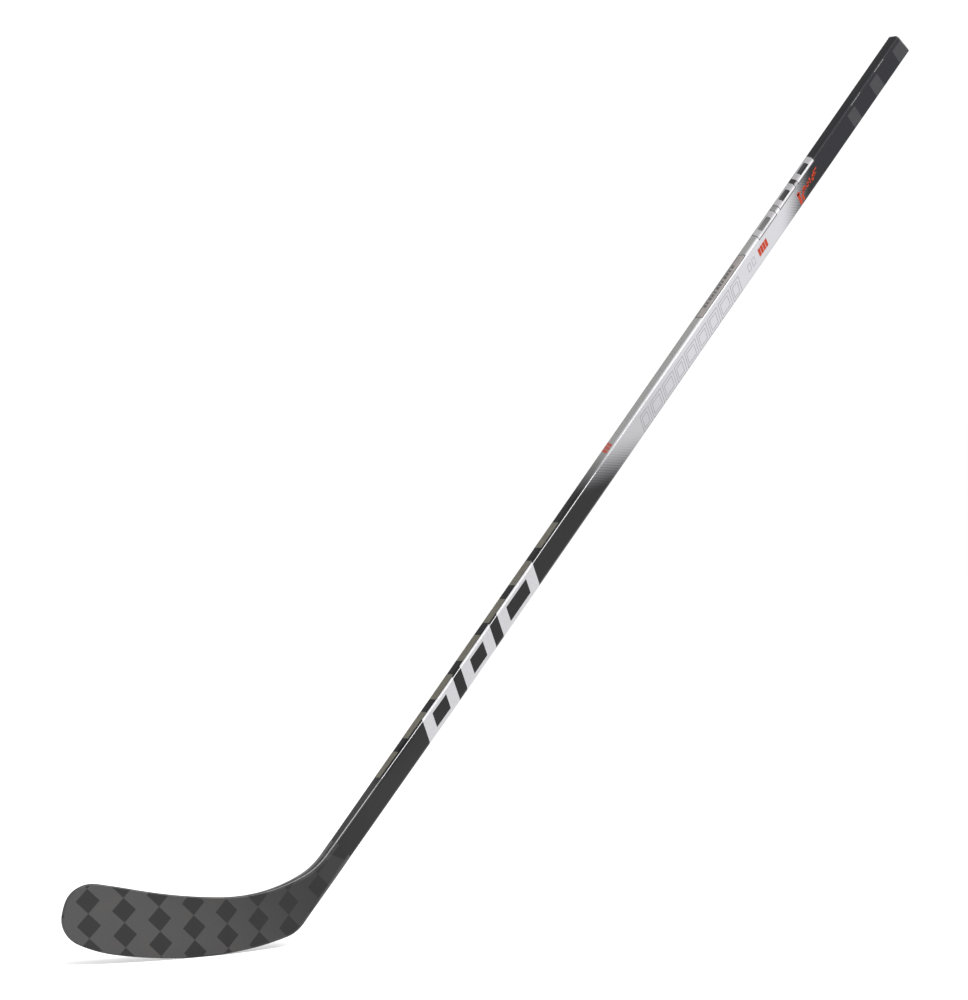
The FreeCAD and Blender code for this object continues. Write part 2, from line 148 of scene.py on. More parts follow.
@dataclass
class Bench:
    """Adds and wires the nodes of one tree."""

    tree: NodeTree

    def add(self, kind: str, **settings: object) -> Node:
        """Add a node.

        Args:
            kind: The node's type.
            **settings: Values for the node's own properties.

        Returns:
            The new node.
        """
        node = self.tree.nodes.new(kind)
        for key, value in settings.items():
            setattr(node, key, value)
        return node

    def feed(self, socket: NodeSocket, value: object) -> None:
        """Wire another socket into this one, or set its value.

        Args:
            socket: The input to fill.
            value: An output socket, or a plain value.
        """
        if isinstance(value, NodeSocket):
            self.tree.links.new(value, socket)
        elif value is not None:
            socket.default_value = value

    def maths(self, operation: Maths, first: object, second: object = None,
              clamp: bool = False) -> NodeSocket:
        """Work out one sum.

        Args:
            operation: What to do.
            first: First value or socket.
            second: Second value or socket, if the sum has one.
            clamp: Whether to hold the result between 0 and 1.

        Returns:
            The result's socket.
        """
        node = self.add("ShaderNodeMath", operation=operation.value, use_clamp=clamp)
        self.feed(node.inputs[0], first)
        self.feed(node.inputs[1], second)
        return node.outputs[0]

    def total(self, *terms: object) -> NodeSocket:
        """Add several terms.

        Args:
            *terms: Values or sockets.

        Returns:
            The sum's socket.
        """
        result = terms[0]
        for term in terms[1:]:
            result = self.maths(Maths.ADD, result, term)
        return result

    def scaled(self, value: object, factor: object) -> NodeSocket:
        """Multiply a value by a factor."""
        return self.maths(Maths.MULTIPLY, value, factor)

    def both(self, *masks: object) -> NodeSocket:
        """Multiply several masks together.

        Args:
            *masks: Values or sockets.

        Returns:
            The product's socket.
        """
        result = masks[0]
        for mask in masks[1:]:
            result = self.maths(Maths.MULTIPLY, result, mask)
        return result

    def remap(self, value: object, low: float, high: float, out_low: float = 0.0, out_high: float = 1.0,
              smooth: bool = True) -> NodeSocket:
        """Map a range of a value onto another range and hold it there.

        Args:
            value: The value to map.
            low: Where the range starts.
            high: Where the range ends.
            out_low: Result at the start.
            out_high: Result at the end.
            smooth: Whether to ease in and out.

        Returns:
            The result's socket.
        """
        node = self.add("ShaderNodeMapRange", interpolation_type="SMOOTHSTEP" if smooth else "LINEAR")
        self.feed(node.inputs["Value"], value)
        limits = (("From Min", low), ("From Max", high), ("To Min", out_low), ("To Max", out_high))
        for name, number in limits:
            node.inputs[name].default_value = number
        return node.outputs["Result"]

    def split(self, vector: object) -> tuple[NodeSocket, ...]:
        """Split a vector into its three numbers.

        Args:
            vector: The vector's socket.

        Returns:
            The X, Y and Z sockets.
        """
        node = self.add("ShaderNodeSeparateXYZ")
        self.feed(node.inputs[0], vector)
        return tuple(node.outputs)

    def join(self, x: object, y: object, z: object = 0.0) -> NodeSocket:
        """Join three numbers into a vector.

        Args:
            x: First number or socket.
            y: Second number or socket.
            z: Third number or socket.

        Returns:
            The vector's socket.
        """
        node = self.add("ShaderNodeCombineXYZ")
        for socket, value in zip(node.inputs, (x, y, z)):
            self.feed(socket, value)
        return node.outputs[0]

    def noise(self, vector: object, scale: float, detail: float = 2.0,
              roughness: float = 0.5) -> NodeSocket:
        """Add even noise.

        Args:
            vector: Where to read it.
            scale: Repeats per metre.
            detail: Octaves.
            roughness: Strength of the finer octaves.

        Returns:
            A value about one half.
        """
        node = self.add("ShaderNodeTexNoise")
        self.feed(node.inputs["Vector"], vector)
        node.inputs["Scale"].default_value = scale
        node.inputs["Detail"].default_value = detail
        node.inputs["Roughness"].default_value = roughness
        return node.outputs["Fac"]

    def grains(self, vector: object, scale: float) -> NodeSocket:
        """Add cells, as the distance to the nearest grain.

        Args:
            vector: Where to read it.
            scale: Grains per metre.

        Returns:
            The distance's socket.
        """
        node = self.add("ShaderNodeTexVoronoi")
        self.feed(node.inputs["Vector"], vector)
        node.inputs["Scale"].default_value = scale
        return node.outputs["Distance"]

    def mix(self, factor: object, first: object, second: object) -> NodeSocket:
        """Mix two colours.

        Args:
            factor: Share of the second colour.
            first: Colour or socket.
            second: Colour or socket.

        Returns:
            The mixed colour's socket.
        """
        node = self.add("ShaderNodeMix", data_type="RGBA")
        self.feed(node.inputs[0], factor)
        for socket, value in ((node.inputs[6], first), (node.inputs[7], second)):
            self.feed(socket, (*value, 1.0) if isinstance(value, tuple) else value)
        return node.outputs[2]

    def blend(self, factor: object, first: object, second: object) -> NodeSocket:
        """Mix two numbers.

        Args:
            factor: Share of the second number.
            first: Number or socket.
            second: Number or socket.

        Returns:
            The mixed number's socket.
        """
        node = self.add("ShaderNodeMix", data_type="FLOAT")
        self.feed(node.inputs[0], factor)
        self.feed(node.inputs[2], first)
        self.feed(node.inputs[3], second)
        return node.outputs[0]

    def group(self, tree: NodeTree, **values: object) -> Node:
        """Place a node group.

        Args:
            tree: The group.
            **values: Values or sockets for its inputs, by name.

        Returns:
            The group's node.
        """
        node = self.add("ShaderNodeGroup", node_tree=tree)
        for name, value in values.items():
            self.feed(node.inputs[name], value)
        return node

    def object_point(self) -> NodeSocket:
        """Read the point's place in the piece."""
        return self.add("ShaderNodeTexCoord").outputs["Object"]

    def shaft_point(self) -> tuple[NodeSocket, ...]:
        """Read the point's place in the shaft's own directions.

        Returns:
            The sockets of X, towards the underside, Y, towards the forehand, and Z, from the heel upwards.
        """
        inverse = STICK.matrix.inverted()
        node = self.add("ShaderNodeMapping", vector_type="POINT")
        self.feed(node.inputs["Vector"], self.object_point())
        node.inputs["Location"].default_value = inverse.to_translation()
        node.inputs["Rotation"].default_value = inverse.to_euler("XYZ")
        return self.split(node.outputs[0])


@dataclass
class Shade:
    """One material with its shader, to be finished by a finish."""

    name: str
    bench: Bench = field(init=False)
    shader: Node = field(init=False)
    material: Material = field(init=False)

    def __post_init__(self) -> None:
        """Make the material with an empty tree, one shader and its output."""
        self.material = bpy.data.materials.new(self.name)
        self.material.use_nodes = True
        self.material.node_tree.nodes.clear()
        self.bench = Bench(self.material.node_tree)
        self.shader = self.bench.add("ShaderNodeBsdfPrincipled")
        output = self.bench.add("ShaderNodeOutputMaterial")
        self.bench.feed(output.inputs["Surface"], self.shader.outputs[0])

    def set(self, **values: object) -> None:
        """Fill the shader's sockets.

        Args:
            **values: Values or sockets by socket name, with an underscore for each space.
        """
        for name, value in values.items():
            if isinstance(value, tuple) and len(value) == 3:
                value = (*value, 1.0)
            self.bench.feed(self.shader.inputs[name.replace("_", " ")], value)

    def bump(self, height: NodeSocket, distance: float, strength: float = 1.0) -> None:
        """Raise the surface by a height.

        Args:
            height: Socket of the height, from 0 to 1.
            distance: Height of 1, in metres.
            strength: How much of it counts.
        """
        node = self.bench.add("ShaderNodeBump")
        node.inputs["Strength"].default_value = strength
        node.inputs["Distance"].default_value = distance
        self.bench.feed(node.inputs["Height"], height)
        self.bench.feed(self.shader.inputs["Normal"], node.outputs[0])


@dataclass
class GroupMaker:
    """Starts a node group and gives its inputs and outputs."""

    name: str
    inputs: dict[str, float | None]
    outputs: tuple[str, ...]
    bench: Bench = field(init=False)
    given: dict[str, NodeSocket] = field(init=False)

    def __post_init__(self) -> None:
        """Make the group's tree and its sockets; an input whose value is None is a vector."""
        tree = bpy.data.node_groups.new(self.name, "ShaderNodeTree")
        for name, value in self.inputs.items():
            kind = "NodeSocketVector" if value is None else "NodeSocketFloat"
            socket = tree.interface.new_socket(name, in_out="INPUT", socket_type=kind)
            if value is not None:
                socket.default_value = value
        for name in self.outputs:
            tree.interface.new_socket(name, in_out="OUTPUT", socket_type="NodeSocketFloat")
        self.bench = Bench(tree)
        entry = self.bench.add("NodeGroupInput")
        self.given = {name: entry.outputs[name] for name in self.inputs}

    def finish(self, **results: NodeSocket) -> NodeTree:
        """Wire the results to the group's outputs.

        Args:
            **results: Sockets by output name.

        Returns:
            The finished group.
        """
        exit_node = self.bench.add("NodeGroupOutput")
        for name, socket in results.items():
            self.bench.feed(exit_node.inputs[name], socket)
        return self.bench.tree


def twill_group() -> NodeTree:
    """Make the two-by-two twill that the shaft's outer ply and the bare laminates share.

    Returns:
        A group that gives the height of the tows and which way each one runs.
    """
    maker = GroupMaker("twill_tows", {"Vector": None, "Pitch": 2 * MM}, ("Height", "Warp"))
    bench = maker.bench
    x, y, _ = bench.split(maker.given["Vector"])
    across = bench.maths(Maths.DIVIDE, x, maker.given["Pitch"])
    down = bench.maths(Maths.DIVIDE, y, maker.given["Pitch"])
    cell = bench.total(bench.maths(Maths.FLOOR, across), bench.maths(Maths.FLOOR, down))
    warp = bench.maths(Maths.LESS, bench.maths(Maths.MODULO, cell, 4.0), 2.0)
    crowns = [bench.maths(Maths.ABSOLUTE, bench.maths(Maths.SINE, bench.scaled(side, math.pi)))
              for side in (across, down)]
    height = bench.blend(warp, crowns[1], crowns[0])
    return maker.finish(Height=height, Warp=warp)


def handling_group() -> NodeTree:
    """Make the faint smudges and hairline scuffs that handling leaves on a clear coat.

    Returns:
        A group that gives a mask of smudges and a mask of scuffs.
    """
    maker = GroupMaker("handling_marks", {"Vector": None, "Smudge size": 60 * MM}, ("Smudges", "Scuffs"))
    bench = maker.bench
    scale = bench.maths(Maths.DIVIDE, 1.0, maker.given["Smudge size"])
    node = bench.add("ShaderNodeTexNoise")
    bench.feed(node.inputs["Vector"], maker.given["Vector"])
    bench.feed(node.inputs["Scale"], scale)
    node.inputs["Detail"].default_value = 4.0
    smudges = bench.remap(node.outputs["Fac"], 0.42, 0.68)
    stretch = bench.add("ShaderNodeMapping", vector_type="POINT")
    bench.feed(stretch.inputs["Vector"], maker.given["Vector"])
    stretch.inputs["Scale"].default_value = (1.0, 14.0, 14.0)
    scuffs = bench.remap(bench.noise(stretch.outputs[0], 70.0, 3.0), 0.66, 0.74)
    return maker.finish(Smudges=smudges, Scuffs=scuffs)


def stipple_group() -> NodeTree:
    """Make the fine raised grain of a grip coat or a moulded part.

    Returns:
        A group that gives the grain's height.
    """
    maker = GroupMaker("stipple", {"Vector": None, "Grain": 0.7 * MM}, ("Height",))
    bench = maker.bench
    node = bench.add("ShaderNodeTexVoronoi")
    bench.feed(node.inputs["Vector"], maker.given["Vector"])
    bench.feed(node.inputs["Scale"], bench.maths(Maths.DIVIDE, 1.0, maker.given["Grain"]))
    return maker.finish(Height=bench.remap(node.outputs["Distance"], 0.15, 0.6, 1.0, 0.0))


@dataclass
class Effects:
    """The node groups that several finishes share."""

    twill: NodeTree = field(default_factory=twill_group)
    handling: NodeTree = field(default_factory=handling_group)
    stipple: NodeTree = field(default_factory=stipple_group)


EFFECTS = Effects()


# ---------------------------------------------------------------------------------------------------------
# Finishes
# ---------------------------------------------------------------------------------------------------------


@dataclass(frozen=True)
class ShaftFinish:
    """Clear-coated black twill with a silver stretch that fades in and out, and a matt grip at the butt."""

    black: Colour = (0.0014, 0.0013, 0.0018)
    tow: Colour = (0.0032, 0.0031, 0.0038)
    grip: Colour = (0.0122, 0.0123, 0.0146)
    grip_patch: Colour = (0.038, 0.038, 0.041)
    silver_low: Colour = (0.238, 0.238, 0.248)
    silver_high: Colour = (0.300, 0.300, 0.313)
    # Painted shade: the silver stretch's narrow upper face is dimmed to this darker grey, as that face gets
    # less light.
    silver_top_painted_shade: Colour = (0.180, 0.180, 0.176)
    silver_from: tuple[float, float] = (0.716, 0.822)
    silver_to: tuple[float, float] = (1.190, 1.270)
    lean_in: float = 1.5
    lean_out: float = 1.4
    hatch_pitch: float = 4.5 * MM
    grip_from: float = 1.262
    patches: tuple[tuple[float, float], ...] = ((1.378, 1.397), (1.437, 1.458), (1.500, 1.530))
    narrow_edge: tuple[float, float] = (-15.0 * MM, -13.9 * MM)
    corner_edge: tuple[float, float] = (20.0 * MM, 21.2 * MM)
    throat_end: tuple[float, float] = (0.20, 0.24)

    def build(self) -> Material:
        """Make the material.

        Returns:
            The shaft's material.
        """
        shade = Shade("shaft_black_silver")
        bench = shade.bench
        x, y, z = bench.shaft_point()
        around = bench.maths(Maths.SUBTRACT, x, y)
        flat = bench.join(around, z)
        diagonal = bench.join(bench.total(around, z), bench.maths(Maths.SUBTRACT, around, z))
        twill = bench.group(EFFECTS.twill, Vector=diagonal, Pitch=1.6 * MM)
        handling = bench.group(EFFECTS.handling, Vector=bench.object_point())
        silver = self._silver(bench, x, z, around)
        grip = bench.remap(z, self.grip_from, self.grip_from + 0.04)
        patches = self._patches(bench, x, z)
        stipple = bench.group(EFFECTS.stipple, Vector=flat)
        narrow = bench.remap(x, *self.narrow_edge, 1.0, 0.0)
        weave = bench.mix(bench.scaled(twill.outputs["Warp"], 0.8), self.black, self.tow)
        cloud = bench.remap(bench.noise(bench.object_point(), 22.0), 0.35, 0.7, 0.0, 0.35)
        weave = bench.mix(cloud, weave, self.tow)
        # Painted shade: on the narrow upper face the grip is darkened 40% towards black.
        coated = bench.mix(grip, weave, bench.mix(bench.scaled(narrow, 0.4), self.grip, self.black))
        grain = bench.scaled(stipple.outputs["Height"], 0.5)
        coated = bench.mix(bench.both(patches, bench.total(0.5, grain)), coated, self.grip_patch)
        pearl = bench.mix(bench.remap(z, 0.80, 0.98), self.silver_low, self.silver_high)
        # Painted shade: the silver on the narrow upper face is dimmed to a darker grey.
        pearl = bench.mix(narrow, pearl, self.silver_top_painted_shade)
        shade.set(Base_Color=bench.mix(silver, coated, pearl), Metallic=bench.scaled(silver, 0.2))
        rough = bench.blend(silver, 0.40, 0.36)
        rough = bench.blend(grip, rough, 0.58)
        rough = bench.total(rough, bench.scaled(handling.outputs["Smudges"], 0.05),
                            bench.scaled(handling.outputs["Scuffs"], 0.06))
        gloss = bench.blend(silver, bench.remap(z, 0.15, 0.60, 0.33, 0.62, False), 0.35)
        gloss = bench.blend(grip, gloss, 0.05)
        coat = bench.blend(narrow, gloss, bench.remap(z, *self.throat_end, 0.30, 0.03))
        outward = bench.maths(Maths.SUBTRACT, bench.maths(Maths.ABSOLUTE, y), x)
        corner = bench.both(bench.remap(outward, *self.corner_edge),
                            bench.remap(z, *self.throat_end, 1.0, 0.0))
        coat = bench.blend(corner, coat, 1.0)
        shade.set(Roughness=rough, Coat_Weight=coat, Coat_Roughness=0.12, Specular_IOR_Level=0.08)
        bare = bench.scaled(bench.maths(Maths.SUBTRACT, 1.0, silver), twill.outputs["Height"])
        height = bench.total(bench.scaled(bare, 0.4), bench.both(grip, stipple.outputs["Height"]))
        shade.bump(height, 0.05 * MM, 0.5)
        return shade.material

    def _silver(self, bench: Bench, x: object, z: object, around: object) -> NodeSocket:
        """Mask the silver paint, which fades in and out on a slant through a fine diagonal hatch.

        Args:
            bench: The material's bench.
            x: Socket of the place across the broad face.
            z: Socket of the station.
            around: Socket of the place round the section.

        Returns:
            The mask's socket.
        """
        wobble = bench.scaled(bench.noise(bench.object_point(), 9.0), 0.03)
        rising = bench.total(bench.scaled(x, -self.lean_in), z, wobble)
        narrow = bench.remap(x, *self.narrow_edge, 0.032, 0.0)
        falling = bench.total(bench.scaled(x, self.lean_out), z, wobble, narrow)
        appear = bench.remap(rising, self.silver_from[0] + 0.015, self.silver_from[1] + 0.015)
        vanish = bench.remap(falling, self.silver_to[0] + 0.015, self.silver_to[1] + 0.015, 1.0, 0.0)
        amount = bench.both(appear, vanish)
        line = bench.maths(Maths.SUBTRACT, z, bench.scaled(around, 0.8))
        wave = bench.maths(Maths.SINE, bench.scaled(line, 2 * math.pi / self.hatch_pitch))
        hatch = bench.scaled(wave, 0.07)
        edge = bench.scaled(bench.both(amount, bench.maths(Maths.SUBTRACT, 1.0, amount)), 4.0)
        return bench.remap(bench.total(amount, bench.scaled(hatch, edge)), 0.0, 1.0, smooth=False)

    def _patches(self, bench: Bench, x: object, z: object) -> NodeSocket:
        """Mask the lighter, coarser patches of the grip on the broad faces.

        Args:
            bench: The material's bench.
            x: Socket of the place across the broad face.
            z: Socket of the station.

        Returns:
            The mask's socket.
        """
        inside = bench.remap(x, -8.5 * MM, -6.5 * MM)
        slanted = bench.total(z, bench.scaled(x, 0.12))
        bands = []
        for low, high in self.patches:
            rise = bench.remap(slanted, low - 1 * MM, low + 1 * MM)
            fall = bench.remap(slanted, high - 1 * MM, high + 1 * MM, 1.0, 0.0)
            bands.append(bench.both(rise, fall))
        return bench.both(inside, bench.total(*bands))


@dataclass(frozen=True)
class BladeFinish:
    """Spread-tow weave in dark diamonds between light zigzag bands, which ends below the shaft joint."""

    band: Colour = (0.0345, 0.0338, 0.0345)
    warm: Colour = (0.0365, 0.0345, 0.0335)
    diamond: Colour = (0.0040, 0.0039, 0.0044)
    shaft: Colour = (0.0050, 0.0049, 0.0055)
    # Painted shade: the weave darkens towards this colour near the hosel, where the surface turns away from
    # the light.
    hosel: Colour = (0.0060, 0.0059, 0.0066)
    curve_radius: float = 580 * MM
    root: float = 30 * MM
    first_column: float = 240.1 * MM
    column_pitch: float = 43.3 * MM
    row_pitch: float = 30 * MM
    row_drop: float = 13.9 * MM
    first_row: float = 78.2 * MM
    half_width: float = 14.6 * MM
    seam: float = 0.1163
    seam_lean: float = 0.43

    def build(self) -> Material:
        """Make the material.

        Returns:
            The blade's material.
        """
        shade = Shade("blade_diamond_weave")
        bench = shade.bench
        x, y, z = bench.split(bench.object_point())
        heel = STICK.heel
        behind = bench.maths(Maths.SUBTRACT, heel.x - self.root, x)
        inward = bench.maths(Maths.SUBTRACT, heel.y + self.curve_radius, y)
        run = bench.scaled(bench.maths(Maths.ARCTAN2, behind, inward), self.curve_radius)
        column = bench.maths(Maths.DIVIDE, bench.maths(Maths.SUBTRACT, self.first_column, run),
                             self.column_pitch)
        number = bench.maths(Maths.ROUND, column)
        across = bench.maths(Maths.ABSOLUTE, bench.maths(Maths.SUBTRACT, column, number))
        level = bench.total(z, -self.first_row, bench.scaled(number, self.row_drop))
        row = bench.maths(Maths.DIVIDE, level, self.row_pitch)
        down = bench.maths(Maths.ABSOLUTE, bench.maths(Maths.SUBTRACT, row, bench.maths(Maths.ROUND, row)))
        reach = bench.total(bench.scaled(across, self.column_pitch / self.half_width),
                            bench.scaled(down, 2.0))
        dark = bench.remap(reach, 0.985, 1.015, 1.0, 0.0)
        handling = bench.group(EFFECTS.handling, Vector=bench.object_point(), **{"Smudge size": 45 * MM})
        tows = self._tows(bench, run, z, dark)
        warmth = bench.remap(bench.noise(bench.object_point(), 35.0, 1.0), 0.48, 0.62)
        light = bench.mix(warmth, self.band, self.warm)
        woven = bench.mix(dark, light, self.diamond)
        fibre = bench.noise(bench.join(bench.scaled(run, 1.0), bench.scaled(z, 8.0)), 260.0, 2.0)
        woven = bench.mix(bench.remap(fibre, 0.3, 0.75, 0.0, 0.22), woven, self.shaft)
        shaft_x, _, station = bench.shaft_point()
        crossed = bench.maths(Maths.SUBTRACT, station, bench.scaled(shaft_x, self.seam_lean))
        edge = self.seam - self.seam_lean * STICK.width / 2
        above = bench.remap(crossed, edge, edge + 1.2 * MM)
        # Painted shade: the weave darkens towards the hosel, up to 72%, where the surface turns away from the
        # light.
        hosel = bench.remap(station, -130 * MM, 60 * MM, 0.0, 0.72)
        # Painted shade: the blade's down-facing bottom rim, below 2.6 mm, is darkened towards black, up to
        # 60%.
        rim = bench.remap(z, 1.2 * MM, 2.6 * MM, 0.6, 0.0)
        colour = bench.mix(hosel, woven, self.hosel)
        colour = bench.mix(above, colour, self.shaft)
        shade.set(Base_Color=bench.mix(rim, colour, self.shaft))
        rough = bench.total(bench.blend(dark, 0.40, 0.34), bench.scaled(handling.outputs["Smudges"], 0.06),
                            bench.scaled(handling.outputs["Scuffs"], 0.08))
        rounding = bench.add("ShaderNodeAttribute", attribute_name="rounding").outputs["Fac"]
        coat = bench.blend(rounding, bench.remap(station, -200 * MM, 60 * MM, 0.42, 0.16, False),
                           bench.remap(station, -60 * MM, 60 * MM, 0.42, 0.8))
        shade.set(Roughness=rough, Coat_Weight=coat, Coat_Roughness=0.22, Specular_IOR_Level=0.13)
        shade.bump(tows, 0.05 * MM, 0.4)
        return shade.material

    def _tows(self, bench: Bench, run: object, z: object, dark: object) -> NodeSocket:
        """Raise the fine fibre lines, which lean one way in the bands and the other in the diamonds.

        Args:
            bench: The material's bench.
            run: Socket of the distance along the blade.
            z: Socket of the height.
            dark: Socket of the diamonds' mask.

        Returns:
            The height's socket.
        """
        leaning = [bench.total(bench.scaled(run, slope), z) for slope in (1.0, -1.0)]
        lines = [bench.maths(Maths.SINE, bench.scaled(value, 2 * math.pi / (1.1 * MM))) for value in leaning]
        fine = bench.scaled(bench.blend(dark, lines[0], lines[1]), 0.18)
        return bench.total(fine, bench.scaled(dark, 0.5))


@dataclass(frozen=True)
class PaintFinish:
    """A printed paint film with a faint orange-peel surface and slightly worn ink."""

    name: str
    colour: Colour
    second: Colour
    roughness: float = 0.35
    metallic: float = 0.0
    coat: float = 0.3

    def build(self) -> Material:
        """Make the material.

        Returns:
            The film's material.
        """
        shade = Shade(self.name)
        bench = shade.bench
        point = bench.object_point()
        handling = bench.group(EFFECTS.handling, Vector=point, **{"Smudge size": 30 * MM})
        ink = bench.remap(bench.noise(point, 160.0, 3.0), 0.4, 0.62)
        worn = bench.scaled(handling.outputs["Scuffs"], 0.35)
        colour = bench.mix(ink, self.colour, self.second)
        shade.set(Base_Color=bench.mix(worn, colour, self.second), Metallic=self.metallic)
        rough = bench.total(self.roughness, bench.scaled(handling.outputs["Smudges"], 0.08))
        shade.set(Roughness=rough, Coat_Weight=self.coat, Coat_Roughness=0.12, Specular_IOR_Level=0.2)
        shade.bump(bench.noise(point, 900.0, 1.0), 0.02 * MM, 0.2)
        return shade.material


@dataclass(frozen=True)
class FadedBlockFinish:
    """Grey ink that darkens up the shaft, inside the outlined blocks."""

    low: Colour = (0.088, 0.088, 0.090)
    high: Colour = (0.003, 0.003, 0.004)
    start: float = 1.150
    end: float = 1.245

    def build(self) -> Material:
        """Make the material.

        Returns:
            The ink's material.
        """
        shade = Shade("faded_ink")
        bench = shade.bench
        x, y, z = bench.shaft_point()
        line = bench.maths(Maths.SINE, bench.scaled(bench.total(x, bench.scaled(y, -1.0), z), 2600.0))
        amount = bench.remap(z, self.start, self.end)
        shaded = bench.total(amount, bench.scaled(line, 0.06))
        shade.set(Base_Color=bench.mix(shaded, self.low, self.high))
        grain = bench.noise(bench.object_point(), 400.0)
        shade.set(Roughness=bench.remap(grain, 0.3, 0.7, 0.33, 0.42), Specular_IOR_Level=0.2)
        return shade.material


@dataclass(frozen=True)
class MouldedFinish:
    """Moulded black rubber of the end plug: fine stipple, soft sheen and paler rubbed high spots."""

    colour: Colour = (0.028, 0.028, 0.030)
    rubbed: Colour = (0.060, 0.060, 0.062)

    def build(self) -> Material:
        """Make the material.

        Returns:
            The plug's material.
        """
        shade = Shade("plug_rubber")
        bench = shade.bench
        point = bench.object_point()
        stipple = bench.group(EFFECTS.stipple, Vector=point, Grain=0.5 * MM)
        rub = bench.remap(bench.noise(point, 220.0, 3.0), 0.5, 0.7)
        shade.set(Base_Color=bench.mix(rub, self.colour, self.rubbed))
        shade.set(Roughness=bench.remap(rub, 0.0, 1.0, 0.62, 0.5, False))
        shade.bump(stipple.outputs["Height"], 0.06 * MM, 0.6)
        return shade.material


@dataclass(frozen=True)
class LaminateFinish:
    """Bare woven laminate, as it leaves the mould."""

    name: str
    colour: Colour = (0.020, 0.020, 0.021)
    tow: Colour = (0.055, 0.055, 0.058)
    pitch: float = 2.5 * MM

    def build(self) -> Material:
        """Make the material.

        Returns:
            The laminate's material.
        """
        shade = Shade(self.name)
        bench = shade.bench
        x, y, z = bench.shaft_point()
        flat = bench.join(bench.maths(Maths.SUBTRACT, x, y), z)
        twill = bench.group(EFFECTS.twill, Vector=flat, Pitch=self.pitch)
        shade.set(Base_Color=bench.mix(twill.outputs["Warp"], self.colour, self.tow))
        shade.set(Roughness=bench.remap(twill.outputs["Height"], 0.0, 1.0, 0.55, 0.38, False))
        shade.bump(twill.outputs["Height"], 0.1 * MM, 0.7)
        return shade.material


@dataclass(frozen=True)
class FoamFinish:
    """Closed-cell foam: small cells and a slightly mottled colour."""

    name: str
    colour: Colour
    shade_colour: Colour
    cell: float = 0.9 * MM

    def build(self) -> Material:
        """Make the material.

        Returns:
            The foam's material.
        """
        shade = Shade(self.name)
        bench = shade.bench
        point = bench.object_point()
        cells = bench.remap(bench.grains(point, 1.0 / self.cell), 0.1, 0.7)
        mottle = bench.remap(bench.noise(point, 90.0, 3.0), 0.4, 0.65)
        shade.set(Base_Color=bench.mix(bench.both(cells, mottle), self.colour, self.shade_colour))
        shade.set(Roughness=bench.remap(mottle, 0.0, 1.0, 0.85, 0.95, False))
        shade.bump(cells, 0.2 * MM, 0.8)
        return shade.material


@dataclass(frozen=True)
class GlueFinish:
    """Cured amber adhesive with small trapped bubbles."""

    colour: Colour = (0.42, 0.33, 0.14)
    bubble: Colour = (0.62, 0.55, 0.34)

    def build(self) -> Material:
        """Make the material.

        Returns:
            The adhesive's material.
        """
        shade = Shade("cured_adhesive")
        bench = shade.bench
        point = bench.object_point()
        bubbles = bench.remap(bench.grains(point, 420.0), 0.12, 0.3, 1.0, 0.0)
        shade.set(Base_Color=bench.mix(bubbles, self.colour, self.bubble))
        shade.set(Roughness=bench.remap(bench.noise(point, 120.0), 0.4, 0.6, 0.18, 0.35))
        shade.bump(bubbles, 0.08 * MM, 0.5)
        return shade.material


def made_by(finish: type, *sizes: object, **options: object) -> Material:
    """Make a palette field that builds its finish when the palette is made.

    Args:
        finish: The finish's class.
        *sizes: Its leading fields.
        **options: Its named fields.

    Returns:
        The field.
    """
    return field(default_factory=lambda: finish(*sizes, **options).build())


@dataclass
class Palette:
    """Every finish of the stick, built once."""

    shaft: Material = made_by(ShaftFinish)
    blade: Material = made_by(BladeFinish)
    plug: Material = made_by(MouldedFinish)
    glue: Material = made_by(GlueFinish)
    laminate: Material = made_by(LaminateFinish, "inner_laminate_weave")
    rib: Material = made_by(LaminateFinish, "rib_weave", pitch=1.5 * MM)
    foam: Material = made_by(FoamFinish, "core_foam", (0.80, 0.74, 0.56), (0.66, 0.58, 0.40))
    toe_foam: Material = made_by(FoamFinish, "toe_foam", (0.62, 0.64, 0.66), (0.46, 0.48, 0.50), 0.6 * MM)
    silver_ink: Material = made_by(PaintFinish, "silver_ink", (0.284, 0.282, 0.294), (0.274, 0.272, 0.284),
                                   0.38, 0.2, 0.5)
    frame_ink: Material = made_by(PaintFinish, "frame_ink", (0.250, 0.244, 0.252), (0.222, 0.217, 0.225),
                                  0.38, 0.2, 0.3)
    grey_line: Material = made_by(PaintFinish, "grey_line_ink", (0.115, 0.115, 0.127), (0.145, 0.145, 0.157))
    dark_line: Material = made_by(PaintFinish, "dark_line_ink", (0.022, 0.022, 0.023), (0.034, 0.034, 0.036))
    orange: Material = made_by(PaintFinish, "orange_ink", (0.240, 0.020, 0.003), (0.205, 0.016, 0.003),
                               coat=0.15)
    olive: Material = made_by(PaintFinish, "olive_ink", (0.074, 0.068, 0.053), (0.062, 0.057, 0.045),
                              0.45, coat=0.0)
    # Painted highlight: the pale dashes stand for glints on the glossy grip.
    pale: Material = made_by(PaintFinish, "painted_glint_ink", (0.018, 0.018, 0.020), (0.012, 0.012, 0.014))
    label: Material = made_by(PaintFinish, "label_film", (0.172, 0.156, 0.151), (0.150, 0.137, 0.132),
                              0.5, coat=0.1)
    faded: Material = made_by(FadedBlockFinish)


# ---------------------------------------------------------------------------------------------------------
# Pieces
# ---------------------------------------------------------------------------------------------------------


